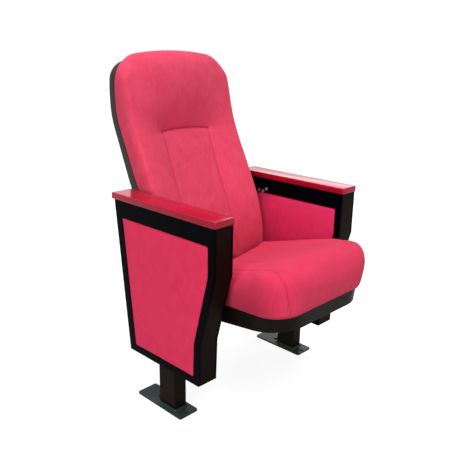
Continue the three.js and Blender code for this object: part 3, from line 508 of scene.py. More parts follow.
@dataclass(frozen=True)
class Finish:
    """One material: its colours, gloss and pattern.

    Args:
        name: the material's name.
        colour: the main colour.
        second: the colour that the pattern's mask brings in.
        pattern: the surface pattern.
        size: the pattern's size.
        relief: how deep the pattern is.
        roughness: the least and the most roughness.
        metallic: 0 or 1.
        specular: how strongly it reflects; 0.5 is a common gloss.
        turn: 0 where a cloth's wales cross X, 1 where they cross Y.
        sheen: the cloth sheen's weight.
        sheen_tint: the sheen's colour.
        seam: the colour down in the seams, which also paints the shade marked with them, or None without seams.
    """

    name: str
    colour: Levels
    second: Levels
    pattern: Pattern
    size: float
    relief: float
    roughness: tuple[float, float]
    metallic: float = 0
    specular: float = 0.5
    turn: float = 0
    sheen: float = 0
    sheen_tint: Colour = (1, 1, 1)
    seam: Levels | None = None

    def material(self) -> bpy.types.Material:
        """Return the material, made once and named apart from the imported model's own."""
        return bpy.data.materials.get(f"{self.name}_finish") or self.build()

    def build(self) -> bpy.types.Material:
        """Build the material.

        Returns:
            The new material.
        """
        material = bpy.data.materials.new(f"{self.name}_finish")
        material.use_nodes = True
        nodes = Nodes(material.node_tree)
        shader = material.node_tree.nodes["Principled BSDF"]
        group = nodes.add("ShaderNodeGroup", node_tree=bpy.data.node_groups[self.pattern.value])
        group.inputs["Size"].default_value = self.size
        if self.pattern is Pattern.WEAVE:
            group.inputs["Turn"].default_value = self.turn
        mask = nodes.fit(group.outputs["Mask"], 0, 1, 0, 1)
        colour = nodes.blend(mask, from_screen(self.colour), from_screen(self.second))
        if self.seam:
            # the seam colour also paints shade wherever the mesh marks it
            sewn = nodes.add("ShaderNodeGroup", node_tree=bpy.data.node_groups["seam_and_shade_line"])
            colour = nodes.blend(sewn.outputs["Mask"], colour, from_screen(self.seam))
        nodes.put(shader.inputs["Base Color"], colour)
        nodes.put(shader.inputs["Roughness"], nodes.fit(group.outputs["Mask"], 0, 1, *self.roughness))
        bump = nodes.add("ShaderNodeBump", {"Height": group.outputs["Height"], "Distance": self.relief})
        nodes.put(shader.inputs["Normal"], bump.outputs[0])
        for name, value in (
            ("Metallic", self.metallic), ("Specular IOR Level", self.specular), ("Sheen Weight", self.sheen),
            ("Sheen Roughness", SHEEN_ROUGHNESS), ("Sheen Tint", (*self.sheen_tint, 1)),
        ):
            shader.inputs[name].default_value = value
        return material


BACK_CLOTH = Finish(
    "back_cloth", (208, 54, 85), (224, 76, 104), Pattern.WEAVE, 0.0022, 0.0005, (0.8, 0.95),
    specular=0.2, sheen=0.1, sheen_tint=(1.0, 0.6, 0.64), seam=(150, 12, 46),
)
# The seat's copy of the back cloth with less green and blue: the same cloth drawn deeper, as painted shade for the
# seat's weaker light.
SHADED_SEAT_CLOTH = replace(BACK_CLOTH, name="seat_cloth_shaded", colour=(207, 42, 77), second=(221, 60, 93))
PANEL_CLOTH = replace(
    BACK_CLOTH, name="panel_cloth", colour=(224, 37, 82), second=(238, 56, 99), turn=1,
    sheen_tint=(1.0, 0.6, 0.66), seam=(120, 12, 36),
)
# The inner pads' copy of the panel cloth, deeper and bluer: painted shade for the pads between the arms.
SHADED_INNER_CLOTH = replace(PANEL_CLOTH, name="inner_cloth_shaded", colour=(221, 39, 98), second=(236, 58, 116))
# the arm caps' lighter second colour is also their painted lighter top
ARM_RED = Finish("arm_red", (152, 11, 37), (190, 24, 56), Pattern.PAINT, 0.006, 0.000015, (0.08, 0.16), specular=0.14)
PANEL_BLACK = Finish("panel_black", (1, 2, 5), (5, 5, 9), Pattern.VENEER, 0.03, 0.00004, (0.24, 0.36), specular=0.012)
# The frame band's dark brown is a painted reflection of warm surroundings on its front faces, over the same black as
# the covers.
PANEL_EDGE_REFLECTION = replace(PANEL_BLACK, name="panel_edge_reflection", colour=(20, 9, 6), second=(26, 13, 9), specular=0.015)
SHELL_BLACK = Finish(
    "shell_black", (30, 28, 23), (45, 42, 36), Pattern.GRAIN, 0.0012, 0.00012, (0.4, 0.52), specular=0.18,
)
PAN_BLACK = Finish("pan_black", (8, 7, 6), (20, 16, 12), Pattern.GRAIN, 0.0012, 0.0001, (0.36, 0.5), specular=0.05)
POST_BLACK = Finish(
    "post_black", (20, 14, 9), (36, 27, 19), Pattern.PAINT, 0.003, 0.00006, (0.32, 0.45), specular=0.02,
)
INNER_BLACK = replace(
    POST_BLACK, name="inner_black", colour=(8, 8, 10), second=(20, 20, 22), roughness=(0.42, 0.6), specular=0.08,
)
# the floor plates' green-grey second colour is also their painted lighter, reflecting top
PLATE_GREY = Finish("plate_grey", (3, 6, 7), (54, 72, 69), Pattern.PAINT, 0.004, 0.00008, (0.2, 0.34), specular=0.1)
BARE_STEEL = Finish(
    "bare_steel", (176, 178, 182), (208, 210, 214), Pattern.BRUSHED, 0.0004, 0.00002, (0.34, 0.5), metallic=1,
)
NYLON = Finish("nylon", (214, 210, 198), (226, 222, 212), Pattern.GRAIN, 0.001, 0.00003, (0.5, 0.6))
RUBBER = Finish("buffer_rubber", (24, 24, 24), (38, 38, 38), Pattern.GRAIN, 0.001, 0.0001, (0.8, 0.92))
PLYWOOD = Finish("plywood", (184, 146, 96), (150, 112, 68), Pattern.VENEER, 0.012, 0.0002, (0.6, 0.75))


# Places on the object


def smooth_line(table: Sequence[tuple[float, float]], at: Points) -> Points:
    """Follow a smooth curve through a table's places.

    Args:
        table: pairs of a place and its value, in order.
        at: where to read the curve.

    Returns:
        The values there.
    """
    places, values = np.array(table).T
    slopes = np.empty_like(values)
    slopes[1:-1] = (values[2:] - values[:-2]) / (places[2:] - places[:-2])
    slopes[0] = (values[1] - values[0]) / (places[1] - places[0])
    slopes[-1] = (values[-1] - values[-2]) / (places[-1] - places[-2])
    i = np.clip(np.searchsorted(places, at), 1, len(places) - 1)
    run = places[i] - places[i - 1]
    t = np.clip((at - places[i - 1]) / run, 0, 1)
    near = (2 * t**3 - 3 * t**2 + 1) * values[i - 1] + (t**3 - 2 * t**2 + t) * run * slopes[i - 1]
    return near + (3 * t**2 - 2 * t**3) * values[i] + (t**3 - t**2) * run * slopes[i]


def ease(value: Points) -> Points:
    """Return a smooth step from 0 to 1."""
    share = np.clip(value, 0, 1)
    return share * share * (3 - 2 * share)


def groove(distance: Points, width: float) -> Points:
    """Return 1 on a line, fading to 0 over a width on both sides."""
    return np.exp(-((distance / width) ** 2))


def crossings(across: Points, along: Points) -> Points:
    """Return where lines at places across meet lines at places along, by row and column."""
    return np.stack(np.broadcast_arrays(across[None, :], along[:, None]), -1)


@dataclass(frozen=True)
class Inset:
    """How far a loop is drawn in from a plan's edges: at its sides, its low end and its high end."""

    side: float = 0.0
    low: float = 0.0
    high: float = 0.0

    def scaled(self, share: float) -> "Inset":
        """Return this inset times a share."""
        return Inset(self.side * share, self.low * share, self.high * share)


@dataclass
class Plan:
    """A four-sided outline with round corners, laid out as a grid of smooth lines.

    Args:
        half: half its width.
        low: its low end.
        high: its high end.
        low_corner: the radius of the two low corners.
        high_corner: the radius of the two high corners.
        columns: places of the straight lines across, from one side to the other.
        rows: places of the straight lines along, from low to high.
        outer: places of the lines in the corners and outer strips, as shares from the straight part outwards.
        least: the least radius of the low and the high corners of a loop that is drawn in.
    """

    half: float
    low: float
    high: float
    low_corner: float
    high_corner: float
    columns: Sequence[float]
    rows: Sequence[float]
    outer: Sequence[float]
    least: tuple[float, float] = (0.004, 0.004)

    @property
    def size(self) -> tuple[int, int]:
        """Return how many lines there are along and across."""
        return len(self.rows) + 2 * len(self.outer), len(self.columns) + 2 * len(self.outer)

    def corner(self, inset: Inset, high: bool) -> tuple[Points, Points, Vector]:
        """Follow the outline round a corner.

        Args:
            inset: how far the loop is drawn in.
            high: whether it is a high corner.

        Returns:
            The places from the end's straight part to the corner's middle, those from the side's straight part
            to it, and the loop's end and side.
        """
        end = self.high - inset.high if high else self.low + inset.low
        side = self.half - inset.side
        radius = self.high_corner if high else self.low_corner
        across = max(radius - inset.side, self.least[high])
        along = max(radius - (inset.high if high else inset.low), self.least[high])
        sign = 1 if high else -1
        angles = np.linspace(0, math.pi / 4, 24)
        middle = np.array([side - across, end - sign * along])
        from_end = middle + np.stack([across * np.sin(angles), sign * along * np.cos(angles)], 1)
        from_side = middle + np.stack([across * np.cos(angles), sign * along * np.sin(angles)], 1)
        base_end = np.array([[self.columns[-1], end]])
        base_side = np.array([[side, self.rows[-1] if high else self.rows[0]]])
        return np.vstack([base_end, from_end]), np.vstack([base_side, from_side]), Vector((side, end))

    def along(self, path: Points) -> Points:
        """Return the places at the outer shares of a path's length."""
        steps = np.linalg.norm(np.diff(path, axis=0), axis=1)
        length = np.concatenate([[0], np.cumsum(steps)])
        at = np.array(self.outer) * length[-1]
        return np.stack([np.interp(at, length, path[:, k]) for k in range(2)], 1)

    def lattice(self, inset: Inset) -> Points:
        """Lay the grid out inside a loop.

        Args:
            inset: how far the loop is drawn in from the outline.

        Returns:
            The grid's places, by row and column.
        """
        rows, columns = self.size
        outer = len(self.outer)
        shares = np.array(self.outer)
        places = np.zeros((rows, columns, 2))
        middle = np.array(self.columns)
        lines = np.array(self.rows)
        places[outer:rows - outer, outer:columns - outer] = crossings(middle, lines)
        side = self.half - inset.side
        reach = middle[-1] + (side - middle[-1]) * shares
        places[outer:rows - outer, columns - outer:] = crossings(reach, lines)
        for high in (False, True):
            ends, sides, (edge_side, edge_end) = self.corner(inset, high)
            base = lines[-1] if high else lines[0]
            far = base + (edge_end - base) * shares
            end_line, side_line = self.along(ends), self.along(sides)
            block = self.patch(np.array([middle[-1], base]), edge_side, edge_end, end_line, side_line, ends[-1])
            order = slice(rows - outer, rows) if high else slice(0, outer)
            flip = slice(None) if high else slice(None, None, -1)
            places[order, outer:columns - outer] = crossings(middle, far[flip])
            places[order, columns - outer:] = block[flip]
        mirror = places[:, ::-1][:, :outer].copy()
        mirror[..., 0] *= -1
        places[:, :outer] = mirror
        return places

    def patch(
        self, base: Points, side: float, end: float, end_line: Points, side_line: Points, tip: Points,
    ) -> Points:
        """Fill a corner between its four edges.

        Args:
            base: the corner of the straight part.
            side: the loop's side.
            end: the loop's end.
            end_line: the places along the end, outwards.
            side_line: the places along the side, outwards.
            tip: the middle of the round corner.

        Returns:
            The corner's places, by row and column.
        """
        shares = np.array(self.outer)
        f, g = shares[None, :, None], shares[:, None, None]
        near_row = np.stack([base[0] + (side - base[0]) * shares, np.full(len(shares), base[1])], 1)[None]
        near_column = np.stack([np.full(len(shares), base[0]), base[1] + (end - base[1]) * shares], 1)[:, None]
        corners = (
            (1 - f) * (1 - g) * base + f * (1 - g) * np.array([side, base[1]])
            + (1 - f) * g * np.array([base[0], end]) + f * g * tip
        )
        rows = (1 - g) * near_row + g * end_line[None]
        columns = (1 - f) * near_column + f * side_line[:, None]
        return rows + columns - corners


def border(grid: Points) -> Points:
    """Return a grid's outermost places, once round."""
    return np.concatenate([grid[0, :-1], grid[:-1, -1], grid[-1, :0:-1], grid[:0:-1, 0]])


def grid_sheet(name: str, places: Points) -> Item:
    """Add a grid and lay it on given places.

    Args:
        name: the piece's name.
        places: the grid's points in space, by row and column.

    Returns:
        The sheet.
    """
    rows, columns = places.shape[:2]
    deselect()
    bpy.ops.mesh.primitive_grid_add(x_subdivisions=columns - 1, y_subdivisions=rows - 1, size=2)
    sheet = added(name)
    flat = read_points(sheet)
    column = np.rint((flat[:, 0] + 1) / 2 * (columns - 1)).astype(int)
    row = np.rint((flat[:, 1] + 1) / 2 * (rows - 1)).astype(int)
    write_points(sheet, places[row, column])
    return sheet


def extrude_rim(sheet: Item, loops: Sequence[Points], start: Points) -> None:
    """Extrude a sheet's rim from loop to loop.

    Args:
        sheet: the sheet.
        loops: the places of each new loop, once round.
        start: the places of the sheet's rim, in the same order.
    """
    before = start.astype(np.float32).astype(float)
    for number, loop in enumerate(loops):
        if number == 0:
            rim = {tuple(np.round(place, 6)) for place in before}
            select_edges(sheet, lambda a, b: tuple(np.round(a, 6)) in rim and tuple(np.round(b, 6)) in rim)
        else:
            pick(sheet)
            mode("EDIT")
        count = len(sheet.data.vertices)
        bpy.ops.mesh.extrude_region_move()
        mode("OBJECT")
        points = read_points(sheet)
        where = {tuple(np.round(place, 6)): i for i, place in enumerate(before)}
        for i in range(count, len(points)):
            points[i] = loop[where[tuple(np.round(points[i], 6))]]
        write_points(sheet, points)
        before = loop.astype(np.float32).astype(float)


def close_with(sheet: Item, places: Points) -> None:
    """Close a sheet's open rim with a second grid.

    Args:
        sheet: the sheet with its rim.
        places: the second grid's points, whose border lies on the rim.
    """
    lid = grid_sheet("lid", places)
    pick(sheet, lid)
    bpy.ops.object.join()
    edit_all(sheet, lambda: bpy.ops.mesh.remove_doubles(threshold=RIM_MERGE), face_outwards)


def refined(start: float, end: float, step: float, lines: Sequence[float], near: Sequence[float]) -> list[float]:
    """Return places from a start to an end, closer together next to given lines.

    Args:
        start: the first place.
        end: the last place.
        step: the usual distance.
        lines: the lines that need fine places.
        near: distances from a line at which places are set.

    Returns:
        The places, in order.
    """
    fine = sorted({line + sign * gap for line in lines for gap in near for sign in (-1, 1)})
    fixed = [start, *[place for place in fine if start < place < end], end]
    places = [start]
    for first, last in zip(fixed, fixed[1:]):
        count = max(1, round((last - first) / step))
        places.extend(first + (last - first) * (k + 1) / count for k in range(count))
    return places


# Padding


@dataclass(frozen=True)
class Stuffing:
    """How a cushion swells: the pressure in it, and how far a point may move."""

    pressure: float
    reach: float
    frames: int = 20
    quality: int = 5
    mass: float = 0.4
    stretch: float = 12
    bending: float = 2
    rounds: int = 4


def neighbours_mean(piece: Item, values: Points, rounds: int) -> Points:
    """Spread values over neighbouring points.

    Args:
        piece: the mesh object.
        values: one row for each point.
        rounds: how many times.

    Returns:
        The spread values.
    """
    edges = np.zeros(len(piece.data.edges) * 2, np.int64)
    piece.data.edges.foreach_get("vertices", edges)
    first, second = edges.reshape(-1, 2).T
    count = np.zeros(len(values))
    np.add.at(count, first, 1)
    np.add.at(count, second, 1)
    for _ in range(rounds):
        total = np.zeros_like(values)
        np.add.at(total, first, values[second])
        np.add.at(total, second, values[first])
        values = 0.5 * values + 0.5 * total / count[:, None]
    return values


def swell(piece: Item, held: Points, stuffing: Stuffing) -> None:
    """Let a cushion's cover swell as cloth under pressure, and keep the result.

    Args:
        piece: the closed cushion.
        held: for each point, 1 where it is held and 0 where it is free.
        stuffing: how it swells.
    """
    group = piece.vertex_groups.new(name="held")
    for weight in np.unique(np.round(held, 2)):
        if weight > 0:
            group.add(np.flatnonzero(np.abs(held - weight) < 0.006).tolist(), float(weight), "REPLACE")
    rest = read_points(piece)
    cloth = piece.modifiers.new("cloth", "CLOTH")
    for name, value in (
        ("vertex_group_mass", "held"), ("use_pressure", True), ("uniform_pressure_force", stuffing.pressure),
        ("quality", stuffing.quality), ("mass", stuffing.mass), ("tension_stiffness", stuffing.stretch),
        ("compression_stiffness", stuffing.stretch), ("bending_stiffness", stuffing.bending),
    ):
        setattr(cloth.settings, name, value)
    cloth.settings.effector_weights.gravity = 0
    cloth.collision_settings.use_self_collision = False
    cloth.point_cache.frame_start = 1
    cloth.point_cache.frame_end = stuffing.frames
    for number in range(1, stuffing.frames + 1):
        bpy.context.scene.frame_set(number)
    finish_modifier(piece, cloth)
    bpy.context.scene.frame_set(1)
    moved = neighbours_mean(piece, read_points(piece) - rest, stuffing.rounds) * (1 - held)[:, None]
    length = np.linalg.norm(moved, axis=1)
    moved *= np.minimum(1, stuffing.reach / np.maximum(length, 1e-9))[:, None]
    write_points(piece, rest + moved)
    piece.vertex_groups.clear()
    LOG.info("%s swells by up to %.1f mm", piece.name, 1000 * np.minimum(length, stuffing.reach).max())


def refine(piece: Item) -> None:
    """Subdivide a piece smoothly."""
    modify(piece, "SUBSURF", levels=1, render_levels=1)


def mark_seams_and_shade(piece: Item, values: Points) -> None:
    """Keep, for each point, how far it is into a seam or into painted shade."""
    attribute = piece.data.attributes.new("sewn", "FLOAT", "POINT")
    attribute.data.foreach_set("value", np.clip(values, 0, 1).astype(np.float32))


def sink(piece: Item, depth: Points) -> None:
    """Move the piece's points in along their normals by given depths."""
    write_points(piece, read_points(piece) - read_normals(piece) * depth[:, None])


def line_distance(points: Points, line: Points) -> Points:
    """Return each point's distance from a line through given places.

    Args:
        points: the points.
        line: the line's places, in order.

    Returns:
        The distances.
    """
    best = np.full(len(points), 1e9)
    for start, end in zip(line, line[1:]):
        along = end - start
        share = np.clip((points - start) @ along / (along @ along), 0, 1)
        gap = points - start - share[:, None] * along
        best = np.minimum(best, np.sqrt((gap * gap).sum(1)))
    return best


def settle(piece: Item, body: str, slot: str, finish: Finish, *nodes: str) -> Item:
    """Give a piece its material and body, and hide the nodes that it stands for.

    Args:
        piece: the piece.
        body: the body that it rides on.
        slot: not used.
        finish: its finish.
        nodes: the nodes that it replaces.

    Returns:
        The piece.
    """
    piece.data.materials.clear()
    piece.data.materials.append(finish.material())
    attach(piece, body)
    if nodes:
        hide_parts(*nodes)
    LOG.info("made %s, %d faces", piece.name, len(piece.data.polygons))
    return piece


# The back


@dataclass
class BackForm:
    """The back's outline and depths, shared by its cushion and its shell."""

    half: float = 0.220
    bottom: float = 0.352
    top: float = 1.027
    top_corner: float = 0.077
    foot_corner: float = 0.018
    top_crown: float = 0.023
    front: float = 0.122
    lean: float = 0.220
    crown: float = 0.007
    dish: float = 0.041
    dish_reach: float = 0.150
    side_roll: float = 0.016
    seam: float = 0.095
    tuck: float = 0.641
    tuck_half: float = 0.099
    line: tuple = (
        (0, 0.3), (0.15, 0.341), (0.302, 0.464), (0.446, 0.682), (0.582, 0.877), (0.71, 1.045),
        (0.814, 1.082), (0.893, 1.07), (0.964, 1.064), (1, 1.064),
    )
    crease: tuple = (
        (0, 0), (0.15, 0.027), (0.302, 0.151), (0.469, 0.392), (0.576, 0.561), (0.671, 0.689),
        (0.744, 0.755), (0.815, 0.806), (0.878, 0.855), (0.939, 0.914), (1, 0.959),
    )
    hollow: tuple = (
        (0, 0.2), (0.15, 0.76), (0.302, 1.05), (0.35, 1.09), (0.469, 0.93), (0.576, 0.68),
        (0.625, 0.66), (0.641, 0.71), (0.66, 0.56), (0.70, 0.26), (0.744, 0.0), (0.79, -0.16),
        (0.84, -0.27), (0.90, -0.35), (0.95, -0.38), (1, -0.33),
    )

    @property
    def tuck_height(self) -> float:
        """Return the headrest tuck's height."""
        return self.bottom + self.tuck * (self.top - self.bottom)

    def plan(self, columns: Sequence[float], rows: Sequence[float], outer: Sequence[float]) -> Plan:
        """Return the cushion's outline as a plan with these grid lines."""
        return Plan(self.half, self.bottom, self.top, self.foot_corner, self.top_corner, columns, rows, outer)

    def drawn(self, flat: Points) -> Points:
        """Lower the outline's top towards its corners, as the crown asks."""
        share = np.clip((flat[..., 1] - self.bottom) / (self.top - self.bottom), 0, 1)
        bent = flat.copy()
        bent[..., 1] -= self.top_crown * (flat[..., 0] / self.half) ** 2 * share**4
        return bent

    def share(self, height: Points) -> Points:
        """Return a height as a share of the back's."""
        return (height - self.bottom) / (self.top - self.bottom)

    def parting(self, x: Points, height: Points) -> Points:
        """Return the depth of the line where cushion and shell meet."""
        bow = self.crown * (1 - (x / self.half) ** 2)
        return self.front + self.lean * smooth_line(self.line, self.share(height)) + bow

    def face(self, x: Points, height: Points) -> Points:
        """Return the depth of the cushion's front, without its seams."""
        share = self.share(height)
        across = ease((self.half - self.side_roll - np.abs(x)) / self.dish_reach)
        return (
            self.front + self.lean * smooth_line(self.crease, share)
            + self.dish * smooth_line(self.hollow, share) * across
        )

    def at(self, flat: Points, depth: Points) -> Points:
        """Return points in space from places on the outline and depths."""
        return np.stack([flat[..., 0], HINGE.y + depth, flat[..., 1]], -1)


@dataclass
class BackCushion:
    """The back's cushion: side bolsters, a headrest tuck and two long seams."""

    form: BackForm
    fit: float = 0.0009
    lip: float = 0.0025
    rolls: Inset = Inset(0.015, 0.018, 0.046)
    rear_roll: Inset = Inset(0.003, 0.003, 0.004)
    roll_depth: float = 0.036
    top_blend: float = 0.13
    cell: float = 0.0065
    stuffing: Stuffing = Stuffing(4.0, 0.005)
    bolster: float = 0.050
    bolster_hold: float = 0.7
    seam_width: float = 0.003
    seam_depth: float = 0.0014
    fold_depth: float = 0.006
    fold_above: float = 0.030
    fold_below: float = 0.005
    fold_end: float = 0.022
    line_end: float = 0.007
    # painted shade above the tuck, where the headrest overhangs: its half width, strength, height over the tuck and
    # reach
    head_shade_half: float = 0.17
    head_shade: float = 0.13
    head_shade_height: float = 0.055
    head_shade_reach: float = 0.09
    seam_mark: float = 0.42
    seam_line: float = 0.0014
    seam_hold: float = 0.9
    seam_hold_width: float = 0.004
    tuck_hold_width: float = 0.006
    tuck_lift: float = 0.002
    tuck_sag: float = 0.006
    # painted shade in the tuck's fold: its strength, height, width, and its fade upwards
    tuck_shade: float = 0.5
    tuck_shade_over: float = 0.0015
    tuck_shade_width: float = 0.0032
    tuck_shade_fade: float = 0.22
    tuck_shade_height: float = 0.014
    front_margin: float = 0.02

    def build(self) -> Item:
        """Make the cushion.

        Returns:
            The finished piece.
        """
        form = self.form
        near = (0, 0.0022, 0.006, 0.011)
        columns = refined(-0.12, 0.12, self.cell, (-form.seam, form.seam), near)
        rows = refined(0.378, 0.925, self.cell, (form.tuck_height,), near)
        outer = np.linspace(0, 1, 17)[1:]
        plan = form.plan(columns, rows, outer)
        inner = form.drawn(plan.lattice(self.rolls))
        face = form.at(inner, form.face(inner[..., 0], inner[..., 1]))
        piece = grid_sheet("back_cushion_cover", face)
        extrude_rim(piece, self.rings(plan), border(face))
        rear = form.drawn(plan.lattice(self.rear_roll))
        close_with(piece, form.at(rear, form.parting(rear[..., 0], rear[..., 1]) - self.fit))
        self.pad(piece)
        return settle(piece, "frame", "cushion_fabric", BACK_CLOTH, "back_cushion")

    def rings(self, plan: Plan) -> list[Points]:
        """Return the loops from the face's rim round to the back of the cushion."""
        loops = []
        turns = [(math.sin(angle), 1 - math.cos(angle), 0) for angle in np.radians([14, 28, 42, 55, 67, 79, 90])]
        for inwards, turned, along in [*turns, (1, 1, 0.25), (1, 1, 0.5), (1, 1, 0.75), (1, 1, 1)]:
            flat = self.form.drawn(border(plan.lattice(self.rolls.scaled(1 - inwards))))
            loops.append(self.form.at(flat, self.depth(flat, turned, along)))
        for share in (0.3, 1):
            flat = self.form.drawn(border(plan.lattice(self.rear_roll.scaled(share))))
            rear = self.form.parting(flat[:, 0], flat[:, 1]) - self.fit
            loops.append(self.form.at(flat, rear - self.lip * 0.35 * (1 - share)))
        return loops

    def depth(self, flat: Points, turned: float, along: float) -> Points:
        """Return depths on the way from the face to the lip.

        Args:
            flat: places on the outline.
            turned: the share of the rounding that is done.
            along: the share of the straight side that is done.

        Returns:
            The depths.
        """
        x, height = flat[:, 0], flat[:, 1]
        face = self.form.face(x, height)
        whole = self.form.parting(x, height) - self.fit - self.lip - face
        at_top = ease((height - self.form.top + self.top_blend) / (0.6 * self.top_blend))
        roll = np.minimum(self.roll_depth + (whole - self.roll_depth) * at_top, whole) * 0.94
        return face + roll * turned + (whole - roll) * along

    def lines(self, points: Points) -> tuple[Points, Points, Points]:
        """Measure how near points are to the tuck and to the long seams.

        Args:
            points: points on the cover.

        Returns:
            The heights over the tuck, the share of its depth across, and the distances from the seams.
        """
        form = self.form
        x, height = np.abs(points[:, 0]), points[:, 2]
        over = height - (form.tuck_height + self.tuck_lift - self.tuck_sag * (x / form.tuck_half) ** 2)
        front = points[:, 1] < HINGE.y + form.parting(points[:, 0], height) - self.front_margin
        across = ease((form.tuck_half + self.fold_end - x) / (2 * self.fold_end)) * front
        seam = np.where(front, np.hypot(x - form.seam, np.maximum(over, 0)), 1)
        return over, across, seam

    def pad(self, piece: Item) -> None:
        """Swell the cover between its sewn lines, draw these in, and paint shade in the tuck's fold and above it."""
        points = read_points(piece)
        over, across, seam = self.lines(points)
        rear = points[:, 1] > HINGE.y + self.form.parting(points[:, 0], points[:, 2]) - self.fit - self.lip * 1.2
        tucked = groove(over, self.tuck_hold_width) * across
        sewn = np.maximum(tucked, self.seam_hold * groove(seam, self.seam_hold_width))
        held = np.maximum(rear.astype(float), sewn)
        edge = ease((np.abs(points[:, 0]) - self.form.half + self.bolster) / (0.5 * self.bolster))
        held = np.maximum(held, self.bolster_hold * edge)
        swell(piece, np.clip(held, 0, 1), self.stuffing)
        refine(piece)
        points = read_points(piece)
        over, across, seam = self.lines(points)
        fold = np.where(over > 0, np.exp(-np.maximum(over, 0) / self.fold_above), groove(over, self.fold_below))
        points[:, 1] += self.fold_depth * fold * across
        write_points(piece, points)
        sink(piece, self.seam_depth * groove(seam, self.seam_width))
        # painted shade: a dark line in the tuck's fold that fades upwards, and a wide band above the tuck where the
        # headrest overhangs
        line = ease((self.form.tuck_half + self.line_end - np.abs(points[:, 0])) / self.line_end)
        tuck_shading = self.tuck_shade * groove(over - self.tuck_shade_over, self.tuck_shade_width)
        tuck_shading += self.tuck_shade_fade * (over > 0) * np.exp(-np.maximum(over, 0) / self.tuck_shade_height)
        inside = ease((self.head_shade_half - np.abs(points[:, 0])) / self.head_shade_reach)
        head = self.head_shade * groove(over - self.head_shade_height, self.head_shade_reach) * inside * (over > 0)
        mark_seams_and_shade(piece, self.seam_mark * groove(seam, self.seam_line) + tuck_shading * line * (across > 0) + head)
        shade(piece, 80)


@dataclass
class BackShell:
    """The moulded shell behind the cushion."""

    form: BackForm
    depth: float = 0.040
    depths: tuple = (
        (0, 0.98), (0.4, 0.98), (0.5, 0.91), (0.6, 0.84), (0.7, 0.78), (0.8, 0.735), (1, 0.725),
    )
    top_drop: float = 0.020
    top_corner: float = 0.052
    wall: float = 0.005
    roll: float = 0.009

    def rear(self, flat: Points) -> Points:
        """Return the depth of the shell's rear face."""
        x, height = flat[..., 0], flat[..., 1]
        return self.form.parting(x, height) + self.depth * smooth_line(self.depths, self.form.share(height))

    def build(self) -> Item:
        """Make the shell.

        Returns:
            The finished piece.
        """
        form = self.form
        plan = Plan(
            form.half, form.bottom, form.top - self.top_drop, form.foot_corner, self.top_corner,
            np.linspace(-0.15, 0.15, 21), np.linspace(0.378, 0.935, 49), np.linspace(0, 1, 11)[1:],
        )
        rolls = Inset(self.roll, self.roll, self.roll)
        inner = form.drawn(plan.lattice(rolls))
        sheet = form.at(inner, self.rear(inner))
        piece = grid_sheet("back_shell_moulding", sheet)
        loops = []
        for angle in np.radians([15, 30, 45, 60, 75, 90]):
            flat = form.drawn(border(plan.lattice(rolls.scaled(1 - math.sin(angle)))))
            loops.append(form.at(flat, self.rear(flat) - self.roll * (1 - math.cos(angle))))
        edge = form.drawn(border(plan.lattice(Inset())))
        rim = form.parting(edge[:, 0], edge[:, 1])
        for share in (0.5, 0.15, 0):
            loops.append(form.at(edge, rim + share * (self.rear(edge) - self.roll - rim)))
        extrude_rim(piece, loops, border(sheet))
        edit_all(piece, face_outwards)
        if np.mean(read_normals(piece)[:, 1]) < 0:
            edit_all(piece, bpy.ops.mesh.flip_normals)
        modify(piece, "SOLIDIFY", thickness=self.wall, offset=-1)
        soften_edges(piece, 0.0012, 2, 50)
        shade(piece, 50)
        return settle(piece, "frame", "shell_black", SHELL_BLACK, "back_shell")


# The seat


